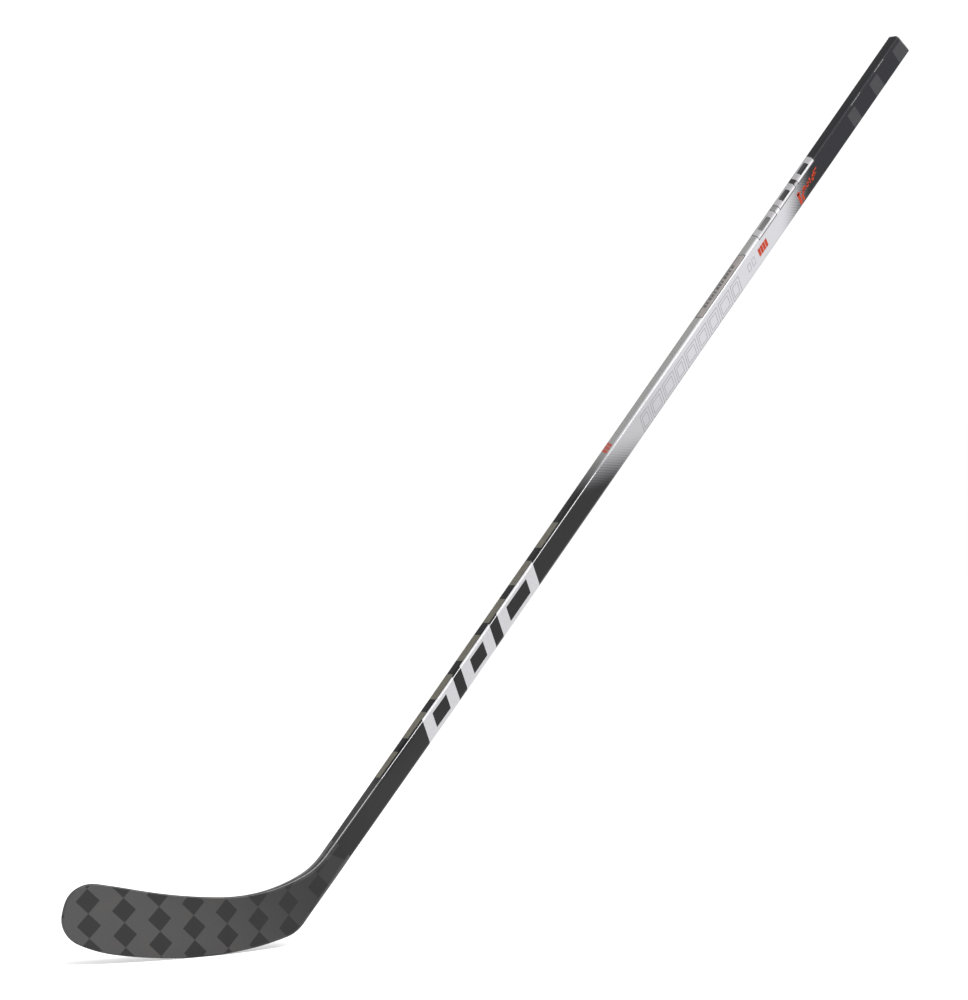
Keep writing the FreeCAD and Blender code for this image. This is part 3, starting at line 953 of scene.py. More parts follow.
def finish_piece(name: str, mesh: BMesh, material: Material,
                 replaced: Sequence[str] = (), place: Matrix | None = None) -> Object:
    """Turn a finished bmesh into a piece that rides on the stick.

    Args:
        name: The piece's name.
        mesh: Its geometry, which is freed.
        material: Its finish.
        replaced: The nodes that it stands for.
        place: Transform to bake into the geometry.

    Returns:
        The piece.
    """
    if place is not None:
        bmesh.ops.transform(mesh, matrix=place, verts=mesh.verts)
    for face in mesh.faces:
        face.smooth = True
    for edge in mesh.edges:
        edge.smooth = edge.is_manifold and edge.calc_face_angle() < SHARP_ANGLE
    data = bpy.data.meshes.new(name)
    mesh.to_mesh(data)
    mesh.free()
    data.materials.append(material)
    piece = bpy.data.objects.new(name, data)
    bpy.context.scene.collection.objects.link(piece)
    normals = piece.modifiers.new("flat_face_normals", "WEIGHTED_NORMAL")
    normals.keep_sharp = True
    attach(piece, "root")
    if replaced:
        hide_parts(*replaced)
    LOG.info("%s: %d faces", name, len(data.polygons))
    return piece


def square(mesh: BMesh) -> list[BMVert]:
    """Add a flat square, one metre wide, about the middle and return its corners."""
    return bmesh.ops.create_grid(mesh, x_segments=1, y_segments=1, size=0.5)["verts"]


def moving_verts(made: dict[str, Iterable[object]]) -> list[BMVert]:
    """List the vertices among what an extrusion made."""
    return [item for item in made["geom"] if isinstance(item, BMVert)]


def cut(mesh: BMesh, spot: Vector | tuple[float, ...], normal: Vector | tuple[float, ...],
        faces: Iterable[BMFace] | None = None, dist: float = 0.01 * MM, drop: bool = False) -> None:
    """Cut faces by a plane.

    Args:
        mesh: Their mesh.
        spot: A point of the plane.
        normal: The plane's normal.
        faces: The faces to cut, or None for all of them.
        dist: Distance at which a vertex counts as on the plane.
        drop: Whether to remove what lies beyond the plane.
    """
    if faces is None:
        parts = [*mesh.verts, *mesh.edges, *mesh.faces]
    else:
        faces = list(faces)
        edges = {edge for face in faces for edge in face.edges}
        parts = [*{vert for face in faces for vert in face.verts}, *edges, *faces]
    bmesh.ops.bisect_plane(mesh, geom=parts, plane_co=spot, plane_no=normal, dist=dist, clear_outer=drop)


@dataclass
class OutlinePen:
    """Draws a closed outline in the XZ plane: each line is an extrusion and each arc a spin."""

    mesh: BMesh
    start: Vector
    step: float = 3 * MM
    tip: BMVert = field(init=False)

    def __post_init__(self) -> None:
        """Put the pen down."""
        self.tip = self.mesh.verts.new(self.start)

    def line(self, end: Vector, count: int = 0) -> None:
        """Draw a straight line in even steps.

        Args:
            end: Where it ends.
            count: Number of steps, or 0 to choose it from the pen's own step.
        """
        begin = self.tip.co.copy()
        count = count or max(1, round((end - begin).length / self.step))
        for _ in range(count):
            made = bmesh.ops.extrude_vert_indiv(self.mesh, verts=[self.tip])
            self.tip = made["verts"][0]
            bmesh.ops.translate(self.mesh, verts=[self.tip], vec=(end - begin) / count)

    def arc(self, centre: Vector, end: Vector) -> None:
        """Draw the shorter arc about a centre.

        Args:
            centre: Centre of the arc.
            end: Where it ends.
        """
        first = self.tip.co - centre
        last = end - centre
        angle = first.angle(last)
        axis = first.cross(last).normalized()
        count = max(2, round(angle * first.length / self.step))
        made = bmesh.ops.spin(self.mesh, geom=[self.tip], cent=centre, axis=axis, angle=angle, steps=count)
        self.tip = next(item for item in made["geom_last"] if isinstance(item, BMVert))

    def tangent_arc(self, direction: Vector, end: Vector) -> Vector:
        """Draw the arc that leaves in a direction and reaches a point.

        Args:
            direction: Unit direction in which it leaves.
            end: Where it ends.

        Returns:
            Unit direction in which it arrives.
        """
        chord = end - self.tip.co
        across = Vector((-direction.z, 0, direction.x))
        radius = chord.length_squared / (2 * chord.dot(across))
        self.arc(self.tip.co + across * radius, end)
        unit = chord.normalized()
        return unit * (2 * direction.dot(unit)) - direction

    def close(self) -> BMFace:
        """Join the ends and fill the outline.

        Returns:
            The face inside it.
        """
        bmesh.ops.remove_doubles(self.mesh, verts=self.mesh.verts, dist=0.02 * MM)
        made = bmesh.ops.contextual_create(self.mesh, geom=self.mesh.edges)
        return made["faces"][0]


def fillet(point: Vector, along: Vector, left: Vector, centre: Vector, radius: float,
           size: float) -> tuple[Vector, Vector, Vector]:
    """Find the arc that rounds a straight line into the inside of a larger circle.

    Args:
        point: A point of the line.
        along: Unit direction of the line, pointing away from the circle's side of the arc.
        left: Unit normal of the line, towards both centres.
        centre: Centre of the circle.
        radius: Radius of the circle.
        size: Radius of the arc.

    Returns:
        The arc's centre, its end on the line and its end on the circle.
    """
    base = point + left * size - centre
    half = base.dot(along)
    reach = -half - math.sqrt(half * half - base.length_squared + (radius - size) ** 2)
    middle = point + along * reach + left * size
    on_circle = centre + (middle - centre).normalized() * radius
    return middle, middle - left * size, on_circle


@dataclass
class BladeShell:
    """The blade and hosel as one crowned shell with flat faces, round rims and a forehand curve."""

    root: float = 30 * MM
    curve_radius: float = 580 * MM
    root_depth: float = 8 * MM
    toe_depth: float = 5.3 * MM
    toe_reach: float = 300 * MM
    joint_depth: float = 16 * MM
    joint_station: float = STICK.joint
    joint_width: float = 33 * MM
    blade_round: float = 2.3 * MM
    joint_round: float = 6 * MM
    rocker_radius: float = 530 * MM
    rocker_low: float = -128 * MM
    rocker_end: float = -235 * MM
    joints: tuple[tuple[float, float], ...] = (
        (-274.5, 25.5), (-292.0, 61.5), (-287.5, 78.5), (-251.5, 98.0), (-207.5, 87.5), (-102.0, 70.0))
    top_radius: float = 255.6 * MM
    top_centre: tuple[float, float] = (-81.0, 324.7)
    throat_radius: float = 100 * MM
    heel_radius: float = 52 * MM
    overrun: float = 12 * MM
    swell_start: float = 4 * MM
    swell_ease: float = 0.75
    strip_pitch: float = 6.0
    fan_start: tuple[float, float] = (-26.0, 45.0)
    fan_step: tuple[float, float] = (4.2, 2.2)
    fan_turn: float = 6.0
    hosel_strips: tuple[float, float] = (27.2, 6.3)
    blade_limit: float = -20 * MM
    hosel_limit: float = -40 * MM
    rings: tuple[float, ...] = (0.12, 0.2, 0.3, 0.42, 0.56, 0.7, 0.9, 1.2, 1.6, 2.0)

    def place(self, x: float, z: float) -> Vector:
        """Turn a distance from the heel corner and a height above the ice into a point of the stick."""
        return Vector((STICK.heel.x + x, 0.0, z))

    def rocker(self, x: float) -> Vector:
        """Find the bottom edge.

        Args:
            x: Distance from the heel corner.

        Returns:
            The point of the rocker there.
        """
        away = x - self.rocker_low
        return self.place(x, self.rocker_radius - math.sqrt(self.rocker_radius ** 2 - away ** 2))

    def outline(self, mesh: BMesh) -> BMFace:
        """Draw the side view: underside, heel, rocker, toe, top edge, throat and joint.

        Args:
            mesh: Where to draw it.

        Returns:
            The face inside it.
        """
        along = STICK.along
        over = -STICK.under
        heel = Vector((STICK.heel.x, 0.0, STICK.heel.z))
        joint_low = heel + along * self.joint_station
        joint_high = joint_low + over * self.joint_width
        past = along * self.overrun
        rocker_centre = self.place(self.rocker_low, self.rocker_radius)
        top_centre = self.place(self.top_centre[0] * MM, self.top_centre[1] * MM)
        heel_arc = fillet(heel, along, over, rocker_centre, self.rocker_radius, self.heel_radius)
        throat_arc = fillet(joint_high, along, over, top_centre, self.top_radius, self.throat_radius)
        pen = OutlinePen(mesh, joint_low + past)
        pen.line(joint_low, 1)
        pen.line(heel_arc[1])
        pen.arc(heel_arc[0], heel_arc[2])
        pen.arc(rocker_centre, self.rocker(self.rocker_end))
        arm = pen.tip.co - rocker_centre
        direction = Vector((arm.z, 0, -arm.x)).normalized()
        for x, z in self.joints:
            direction = pen.tangent_arc(direction, self.place(x * MM, z * MM))
        direction = pen.tangent_arc(direction, throat_arc[2])
        pen.arc(throat_arc[0], throat_arc[1])
        pen.line(joint_high)
        pen.line(joint_high + past, 1)
        pen.line(joint_low + past, 1)
        return pen.close()

    def depth_at(self, x: float, station: float) -> float:
        """Find the full thickness.

        Args:
            x: Distance from the heel corner.
            station: Distance up the shaft from the heel corner.

        Returns:
            The thickness there.
        """
        past = min(max((-x - self.root) / (self.toe_reach - self.root), 0.0), 1.0)
        blade = self.root_depth + (self.toe_depth - self.root_depth) * past
        start = self.swell_start
        rise = min(max((station - start) / (self.joint_station - start), 0.0), 1.0)
        eased = rise * rise * (3 - 2 * rise) * self.swell_ease + rise * (1 - self.swell_ease)
        return blade + (self.joint_depth - self.root_depth) * eased

    def round_at(self, station: float) -> float:
        """Find the radius of the rim's rounding.

        Args:
            station: Distance up the shaft from the heel corner.

        Returns:
            The radius there.
        """
        rise = min(max(station / self.joint_station, 0.0), 1.0)
        return self.blade_round + (self.joint_round - self.blade_round) * rise

    def shape(self, mesh: BMesh, rim: dict[int, float]) -> None:
        """Crown both faces, round the rims and bend the blade.

        Args:
            mesh: The flat plate, whose two faces lie at Y = -1 mm and +1 mm.
            rim: Distance to the outline for each vertex number.
        """
        rounding = mesh.verts.layers.float.new("rounding")
        for vert in mesh.verts:
            x = vert.co.x - STICK.heel.x
            station = (Vector((x, 0, vert.co.z - STICK.heel.z))).dot(STICK.along)
            half = self.depth_at(x, station) / 2
            radius = min(self.round_at(station), half * 0.95)
            short = max(radius - rim[vert.index], 0.0)
            vert[rounding] = min(max(5.0 - 4.0 * rim[vert.index] / radius, 0.0), 1.0)
            height = half - radius + math.sqrt(max(radius * radius - short * short, 0.0))
            away = max(-x - self.root, 0.0)
            middle = self.curve_radius - math.sqrt(self.curve_radius ** 2 - away ** 2)
            vert.co.y = STICK.heel.y + middle + math.copysign(height, vert.co.y)

    def cut_strips(self, mesh: BMesh) -> None:
        """Cut the plate into narrow strips, across the blade and then across the hosel.

        Args:
            mesh: The flat plate.
        """
        heel = STICK.heel
        for step in range(-47, -4):
            spot = self.place(step * self.strip_pitch * MM, 0)
            cut(mesh, spot, Vector((1, 0, 0)), self._stretch(mesh, -math.inf, self.blade_limit))
        for step in range(8):
            turn = math.radians(self.fan_turn * step)
            x, z = (start * MM + step * move * MM for start, move in zip(self.fan_start, self.fan_step))
            normal = Vector((math.cos(turn), 0, math.sin(turn)))
            cut(mesh, self.place(x, z), normal, self._stretch(mesh, self.hosel_limit, math.inf))
        first, pitch = self.hosel_strips
        for step in range(15):
            spot = Vector((heel.x, 0, heel.z)) + STICK.along * (first + pitch * step) * MM
            cut(mesh, spot, STICK.along, self._stretch(mesh, self.hosel_limit, math.inf))

    def _stretch(self, mesh: BMesh, low: float, high: float) -> list[BMFace]:
        """List the faces whose middles lie in a stretch along the blade.

        Args:
            mesh: The flat plate.
            low: Lowest distance from the heel corner.
            high: Highest distance from the heel corner.

        Returns:
            The faces.
        """
        heel = STICK.heel.x
        return [face for face in mesh.faces if heel + low < face.calc_center_median().x < heel + high]

    def build(self, palette: Palette) -> Object:
        """Make the shell.

        Args:
            palette: The stick's finishes.

        Returns:
            The piece.
        """
        mesh = bmesh.new()
        face = self.outline(mesh)
        edge_points = [vert.co.copy() for vert in face.verts]
        inner = [face]
        for width in self.rings:
            bmesh.ops.inset_region(mesh, faces=inner, thickness=width * MM, use_boundary=True,
                                   use_even_offset=True)
        self.cut_strips(mesh)
        joint = Vector((STICK.heel.x, 0, STICK.heel.z)) + STICK.along * self.joint_station
        cut(mesh, joint, STICK.along, drop=True)
        bmesh.ops.translate(mesh, verts=mesh.verts, vec=(0, -MM, 0))
        made = bmesh.ops.extrude_face_region(mesh, geom=mesh.faces[:])
        bmesh.ops.translate(mesh, verts=moving_verts(made), vec=(0, 2 * MM, 0))
        mesh.verts.index_update()
        self.shape(mesh, rim_distances(mesh, edge_points))
        bmesh.ops.remove_doubles(mesh, verts=mesh.verts, dist=0.01 * MM)
        bmesh.ops.recalc_face_normals(mesh, faces=mesh.faces)
        return finish_piece("blade_and_hosel_shell", mesh, palette.blade,
                            ("blade_backhand_skin", "blade_forehand_skin", "blade_edge_band",
                             "hosel_overwrap"))


def rim_distances(mesh: BMesh, outline: Sequence[Vector]) -> dict[int, float]:
    """Measure how far each vertex lies inside an outline, leaving out its one long side, the open end.

    Args:
        mesh: The plate, with its vertex numbers up to date.
        outline: The outline's points in order.

    Returns:
        The distance for each vertex number.
    """
    open_end = 20 * MM
    sides = [(start, end) for start, end in zip(outline, [*outline[1:], outline[0]])
             if (end - start).length < open_end]
    distances = {}
    for vert in mesh.verts:
        flat = Vector((vert.co.x, 0, vert.co.z))
        nearest = 1.0
        for start, end in sides:
            side = end - start
            share = min(max((flat - start).dot(side) / side.length_squared, 0.0), 1.0)
            nearest = min(nearest, (flat - start - side * share).length)
        distances[vert.index] = nearest
    return distances


@dataclass
class ShaftShell:
    """The hollow shaft's outer ply: round-cornered rings, bridged, with the wall turned inwards."""

    wall: float = 0.6 * MM
    film_room: float = 0.17 * MM
    flange: float = 2.5 * MM
    segments: int = 8
    stations: tuple[tuple[float, float, float, float], ...] = (
        (STICK.joint, 33.0, 16.0, 6.0),
        (STICK.taper_bend, 31.7, 17.9, 5.3),
        (STICK.taper_end, 30.4, 19.8, 4.5),
    )

    def ring(self, mesh: BMesh, station: float, width: float, depth: float,
             corner: float) -> list[BMEdge]:
        """Draw one round-cornered section, flush with the underside but for the room kept for the films.

        Args:
            mesh: Where to draw it.
            station: Distance from the heel corner.
            width: Size across the broad face.
            depth: Size across the narrow face.
            corner: Radius of the corners.

        Returns:
            The section's edges.
        """
        corners = square(mesh)
        room = 2 * self.film_room
        bmesh.ops.scale(mesh, vec=(width - room, depth - room, 1), verts=corners)
        bmesh.ops.translate(mesh, vec=((STICK.width - width) / 2, 0, station), verts=corners)
        rounded = bmesh.ops.bevel(mesh, geom=corners, offset=corner - self.film_room, profile=0.5,
                                  segments=self.segments, affect="VERTICES", material=-1)
        face = rounded["verts"][0].link_faces[0]
        edges = list(face.edges)
        bmesh.ops.delete(mesh, geom=[face], context="FACES_ONLY")
        return edges

    def build(self, palette: Palette) -> Object:
        """Make the shell.

        Args:
            palette: The stick's finishes.

        Returns:
            The piece.
        """
        mesh = bmesh.new()
        end = (STICK.length - self.flange, *self.stations[-1][1:])
        rings = [self.ring(mesh, row[0], row[1] * MM, row[2] * MM, row[3] * MM)
                 for row in (*self.stations, end)]
        for low, high in zip(rings, rings[1:]):
            bmesh.ops.bridge_loops(mesh, edges=[*low, *high])
        bmesh.ops.recalc_face_normals(mesh, faces=mesh.faces)
        bmesh.ops.solidify(mesh, geom=mesh.faces[:], thickness=self.wall)
        return finish_piece("shaft_shell", mesh, palette.shaft, ("shaft_outer_weave",),
                            STICK.matrix)


@dataclass
class EndPlug:
    """The butt plug's flange with a rounded rim and a shallow recess, and its stub inside the tube."""

    flange: float = 2.5 * MM
    rim: float = 1.2 * MM
    corner: float = 4.5 * MM
    recess: float = 0.8 * MM
    margin: float = 4 * MM
    stub: float = 35.5 * MM
    stub_gap: float = 2.2 * MM
    clearance: float = 0.02 * MM
    flat_area: float = 60 * MM * MM

    def build(self, palette: Palette) -> Object:
        """Make the plug.

        Args:
            palette: The stick's finishes.

        Returns:
            The piece.
        """
        mesh = bmesh.new()
        corners = square(mesh)
        size = (STICK.width - 2 * self.clearance, STICK.depth - 2 * self.clearance, 1)
        bmesh.ops.scale(mesh, vec=size, verts=corners)
        bmesh.ops.translate(mesh, vec=(0, 0, STICK.length - self.clearance), verts=corners)
        bmesh.ops.bevel(mesh, geom=corners, offset=self.corner, segments=8, profile=0.5,
                        affect="VERTICES", material=-1)
        sides = bmesh.ops.extrude_face_region(mesh, geom=mesh.faces[:])
        bmesh.ops.translate(mesh, vec=(0, 0, -self.flange), verts=moving_verts(sides))
        bmesh.ops.recalc_face_normals(mesh, faces=mesh.faces)
        low_face = min(mesh.faces, key=lambda face: face.calc_center_median().z)
        bmesh.ops.inset_region(mesh, faces=[low_face], thickness=self.stub_gap, use_even_offset=True)
        drawn = bmesh.ops.extrude_face_region(mesh, geom=[low_face])
        bmesh.ops.translate(mesh, vec=(0, 0, -self.stub), verts=moving_verts(drawn))
        bmesh.ops.delete(mesh, geom=[low_face], context="FACES")
        end_face = max(mesh.faces, key=lambda face: face.calc_center_median().z)
        rim_edges = list(end_face.edges)
        bmesh.ops.bevel(mesh, geom=rim_edges, offset=self.rim, segments=4, profile=0.5, affect="EDGES",
                        material=-1)
        end_face = max(mesh.faces, key=lambda face: face.calc_area() * (face.normal.z > 0.9))
        bmesh.ops.inset_region(mesh, faces=[end_face], thickness=self.margin, use_even_offset=True)
        bmesh.ops.inset_region(mesh, faces=[end_face], thickness=self.recess / 2, depth=-self.recess,
                               use_even_offset=True)
        piece = finish_piece("end_plug", mesh, palette.plug, ("butt_end_plug",), STICK.matrix)
        for polygon in piece.data.polygons:
            polygon.use_smooth = polygon.area < self.flat_area
        return piece


@dataclass
class FilmPrinter:
    """Prints thin paint films on the shaft from flat shapes.

    A flat shape's X is the station and its Y the distance from the upper corner of the shaft: positive over
    the broad face, negative over the narrow upper face.
    """

    film: float = 0.04 * MM
    corner: float = 4.5 * MM
    step: float = 0.75 * MM
    rows: int = 8

    def wrap(self, station: float, over: float, side: Side) -> tuple[Vector, Vector]:
        """Find the shaft's surface under a point of a flat shape.

        Args:
            station: Distance from the heel corner.
            over: Distance from the upper corner.
            side: Broad side that the shape lies on.

        Returns:
            The point and its outward normal, in the shaft's own directions.
        """
        taper = min(max((STICK.taper_end - station) / (STICK.taper_end - STICK.joint), 0.0), 1.0)
        half_depth = STICK.depth / 2 - 1.9 * MM * taper
        top = -STICK.width / 2 - 2.6 * MM * taper
        corner = self.corner + 1.5 * MM * taper
        beyond = over + 2 * half_depth
        low = STICK.width / 2 - top - corner
        if over > low:
            turn = (over - low) / corner * math.pi / 4
            normal = Vector((math.sin(turn), math.cos(turn), 0))
            point = Vector((top + low, half_depth - corner, station)) + normal * corner
        elif over > corner:
            point = Vector((top + over, half_depth, station))
            normal = Vector((0, 1, 0))
        elif over > -corner:
            turn = (1 - over / corner) * math.pi / 4
            normal = Vector((-math.sin(turn), math.cos(turn), 0))
            point = Vector((top + corner, half_depth - corner, station)) + normal * corner
        elif beyond > corner:
            point = Vector((top, half_depth + over, station))
            normal = Vector((-1, 0, 0))
        else:
            turn = (3 - beyond / corner) * math.pi / 4
            normal = Vector((-math.sin(turn), math.cos(turn), 0))
            point = Vector((top + corner, corner - half_depth, station)) + normal * corner
        point.y *= side.value
        normal.y *= side.value
        return point, normal

    def print(self, name: str, mesh: BMesh, material: Material, slot: str,
              side: Side, layer: Layer = Layer.INK, replaced: Sequence[str] = ()) -> Object:
        """Wrap a flat shape on the shaft as a thin film.

        Args:
            name: The film's name.
            mesh: The flat shape, which is used up.
            material: Its ink.
            slot: The record's material slot; not used.
            side: Broad side that it lies on.
            layer: How high it lies.
            replaced: The nodes that it stands for.

        Returns:
            The piece.
        """
        for middle in (STICK.width, 0.0, -STICK.depth):
            for row in range(-self.rows, self.rows + 1):
                cut(mesh, (0, middle + row * self.step, 0), (0, 1, 0), dist=0.001 * MM)
        for station in (STICK.taper_bend, STICK.taper_end):
            cut(mesh, (station, 0, 0), (1, 0, 0), dist=0.001 * MM)
        raised = set(moving_verts(bmesh.ops.extrude_face_region(mesh, geom=mesh.faces[:])))
        for vert in mesh.verts:
            point, normal = self.wrap(vert.co.x, vert.co.y, side)
            vert.co = point + normal * (layer.value + (self.film if vert in raised else 0.0))
        bmesh.ops.recalc_face_normals(mesh, faces=mesh.faces)
        return finish_piece(name, mesh, material, replaced, STICK.matrix)


def slanted_block(mesh: BMesh, start: float, length: float, low: float, high: float,
                  slant: float) -> list[BMFace]:
    """Draw a flat block whose ends lean.

    Args:
        mesh: Where to draw it.
        start: Station of its lower corner on the upper edge.
        length: Length along the shaft.
        low: Where it starts across the shaft.
        high: Where it ends across the shaft.
        slant: How far the ends lean along the shaft for each unit across.

    Returns:
        Its face.
    """
    verts = square(mesh)
    bmesh.ops.scale(mesh, vec=(length, high - low, 1), verts=verts)
    shear = Matrix.Identity(4)
    shear[0][1] = slant
    bmesh.ops.transform(mesh, matrix=shear, verts=verts)
    shift = (high - low) / 2 * abs(slant)
    bmesh.ops.translate(mesh, vec=(start + length / 2 + shift, (low + high) / 2, 0), verts=verts)
    return list({face for vert in verts for face in vert.link_faces})


def open_outline(mesh: BMesh, faces: Iterable[BMFace], line: float) -> None:
    """Turn filled blocks into outlines.

    Args:
        mesh: Their mesh.
        faces: The blocks.
        line: Width of the outline.
    """
    blocks = list(faces)
    bmesh.ops.inset_individual(mesh, faces=blocks, thickness=line, use_even_offset=True)
    bmesh.ops.delete(mesh, geom=blocks, context="FACES_ONLY")


def windowed_block(mesh: BMesh, start: float, length: float, low: float, high: float,
                   slant: float, frame_width: float) -> list[BMFace]:
    """Draw a flat slanted block with a window, whose uprights are wider than its rails.

    Args:
        mesh: Where to draw it.
        start: Lowest station that it reaches.
        length: Length along the shaft, without the lean.
        low: Where it starts across the shaft.
        high: Where it ends across the shaft.
        slant: How far the ends lean along the shaft for each unit across.
        frame_width: Width of the rails.

    Returns:
        The window's face, for the caller to open or to keep.
    """
    stretch = 2.4
    corners = square(mesh)
    faces = list({face for vert in corners for face in vert.link_faces})
    bmesh.ops.scale(mesh, vec=(length / stretch, high - low, 1), verts=corners)
    bmesh.ops.inset_individual(mesh, faces=faces, thickness=frame_width, use_even_offset=True)
    verts = list({*corners, *(vert for face in faces for vert in face.verts)})
    shear = Matrix.Identity(4)
    shear[0][0] = stretch
    shear[0][1] = slant
    bmesh.ops.transform(mesh, matrix=shear, verts=verts)
    shift = (high - low) / 2 * abs(slant)
    bmesh.ops.translate(mesh, vec=(start + length / 2 + shift, (low + high) / 2, 0), verts=verts)
    return faces


@dataclass
class ShaftMarks:
    """The marks along the shaft: printed blocks, panels, bars and strokes, with painted highlights as pale
    dashes on the grip and a silver line beside the upper corner.
    """

    printer: FilmPrinter = field(default_factory=FilmPrinter)
    slant: float = -0.5
    top_low: float = -16.6 * MM

    def big_blocks(self, palette: Palette, side: Side) -> None:
        """Print three large silver slanted blocks with slanted windows.

        Args:
            palette: The stick's finishes.
            side: Broad side to print on.
        """
        mesh = bmesh.new()
        windows = []
        for start, length in ((303, 70), (391, 69), (478, 86)):
            windows += windowed_block(mesh, start * MM, length * MM, -1.4 * MM, 31.6 * MM, self.slant,
                                      8.0 * MM)
        bmesh.ops.delete(mesh, geom=windows, context="FACES_ONLY")
        self.printer.print(f"silver_blocks_{side.name.lower()}", mesh, palette.silver_ink,
                           "black_weave", side)

    def thin_panels(self, palette: Palette, side: Side) -> None:
        """Print the row of thin double-outlined panels on the silver stretch.

        Args:
            palette: The stick's finishes.
            side: Broad side to print on.
        """
        mesh = bmesh.new()
        station = 826.0
        for length in (21, 27, 27, 22, 27, 24, 24, 27, 21):
            outer = slanted_block(mesh, station * MM, length * MM, 9.0 * MM, 28.2 * MM, self.slant)
            open_outline(mesh, outer, 0.65 * MM)
            inner = slanted_block(mesh, (station + 5.2) * MM, (length - 8.2) * MM, 12.4 * MM, 24.8 * MM,
                                  self.slant)
            open_outline(mesh, inner, 0.6 * MM)
            station += length + 3.9
        for start in (1103, 1114):
            faces = slanted_block(mesh, start * MM, 7 * MM, 12.0 * MM, 20.5 * MM, self.slant)
            open_outline(mesh, faces, 0.5 * MM)
        self.printer.print(f"thin_panels_{side.name.lower()}", mesh, palette.grey_line, "black_weave", side)

    def orange_marks(self, palette: Palette, side: Side) -> None:
        """Print the short orange bars and, further up, the looser orange strokes.

        Args:
            palette: The stick's finishes.
            side: Broad side to print on.
        """
        mesh = bmesh.new()
        for number in range(4):
            slanted_block(mesh, (1131.5 + number * 5.7) * MM, 5.0 * MM, 11.2 * MM, 20.4 * MM, -0.4)
        strokes = ((1232, 5, 12.0, 27.8, -0.35), (1236, 9, 13.5, 15.2, -0.5), (1240, 4, 18.5, 26.5, -0.3),
                   (1245, 4, 14.0, 19.8, -0.9), (1252, 3, 13.6, 19.0, -0.3), (1257, 4, 14.4, 19.4, -0.9),
                   (1265, 3, 13.0, 19.2, -0.4), (1270, 4, 14.0, 20.4, -0.8), (1277, 3, 11.6, 18.2, -0.5),
                   (1246, 37, 16.4, 17.4, -1.5), (1281, 7, 12.0, 13.6, -0.5))
        for start, length, low, high, slant in strokes:
            slanted_block(mesh, start * MM, length * MM, low * MM, high * MM, slant)
        self.printer.print(f"orange_marks_{side.name.lower()}", mesh, palette.orange, "black_weave", side)

    def painted_butt_glints(self, palette: Palette, side: Side) -> None:
        """Print two pale dashes beside the upper corner of the grip: painted glints of its glossy surface.

        Args:
            palette: The stick's finishes.
            side: Broad side to print on.
        """
        mesh = bmesh.new()
        for start in (1394, 1457):
            slanted_block(mesh, start * MM, 25 * MM, 1.9 * MM, 3.2 * MM, 0.0)
        self.printer.print(f"painted_butt_glints_{side.name.lower()}", mesh, palette.pale, "black_weave", side)

    def painted_corner_highlight(self, palette: Palette, side: Side) -> None:
        """Print a fine silver line beside the upper corner of the black stretch: a painted highlight of the
        corner's reflection.

        Args:
            palette: The stick's finishes.
            side: Broad side to print on.
        """
        mesh = bmesh.new()
        slanted_block(mesh, 224 * MM, 511 * MM, 0.9 * MM, 1.7 * MM, 0.0)
        self.printer.print(f"painted_corner_highlight_{side.name.lower()}", mesh, palette.silver_ink, "black_weave", side,
                           Layer.LINE)

    def top_band(self, palette: Palette) -> None:
        """Print the row of olive stretches on the narrow upper face."""
        mesh = bmesh.new()
        stretches = ((224, 266), (288, 331), (352, 393), (415, 458), (478, 518), (541, 582), (604, 647))
        for low, high in stretches:
            slanted_block(mesh, low * MM, (high - low) * MM, -17.4 * MM, -2.4 * MM, 0.0)
        self.printer.print("olive_band", mesh, palette.olive, "black_weave", Side.BACKHAND)

    def top_marks(self, palette: Palette) -> None:
        """Print the orange bars and the faint outlined panels on the narrow upper face."""
        bars = bmesh.new()
        for number in range(3):
            slanted_block(bars, (765 + number * 5.6) * MM, 4.4 * MM, self.top_low, -2.6 * MM, -0.3)
        self.printer.print("top_bars", bars, palette.orange, "black_weave", Side.BACKHAND)
        panels = bmesh.new()
        station = 796.0
        for length in (25, 18, 28, 22, 28, 18, 24):
            faces = slanted_block(panels, station * MM, length * MM, self.top_low, -3.6 * MM, -0.5)
            open_outline(panels, faces, 0.8 * MM)
            station += length + 4.6
        self.printer.print("top_panels", panels, palette.grey_line, "black_weave", Side.BACKHAND)

    def upper_blocks(self, palette: Palette) -> None:
        """Print the three windowed blocks that fold over the upper corner below the grip."""
        frames = bmesh.new()
        inks = bmesh.new()
        lines = bmesh.new()
        slant = -0.28
        windows = []
        panes = []
        for start, length in ((1148, 45), (1203, 40), (1251, 41)):
            limits = (start * MM, length * MM, self.top_low, 4.4 * MM, slant)
            windows += windowed_block(frames, *limits, 4.4 * MM)
            panes += windowed_block(inks, *limits, 4.4 * MM)
            rim = slanted_block(lines, (start - 0.9) * MM, (length + 1.8) * MM, self.top_low, 5.2 * MM, slant)
            open_outline(lines, rim, 0.9 * MM)
        bmesh.ops.delete(frames, geom=windows, context="FACES_ONLY")
        bmesh.ops.delete(inks, geom=[face for face in inks.faces if face not in panes], context="FACES")
        self.printer.print("upper_frames", frames, palette.frame_ink, "black_weave", Side.BACKHAND)
        self.printer.print("upper_panes", inks, palette.faded, "black_weave", Side.BACKHAND)
        self.printer.print("upper_outlines", lines, palette.dark_line, "black_weave",
                           Side.BACKHAND, Layer.TOP)

    def build(self, palette: Palette) -> None:
        """Print every mark.

        Args:
            palette: The stick's finishes.
        """
        for side in Side:
            self.big_blocks(palette, side)
            self.thin_panels(palette, side)
            self.orange_marks(palette, side)
            self.painted_butt_glints(palette, side)
            self.painted_corner_highlight(palette, side)
        self.top_band(palette)
        self.top_marks(palette)
        self.upper_blocks(palette)


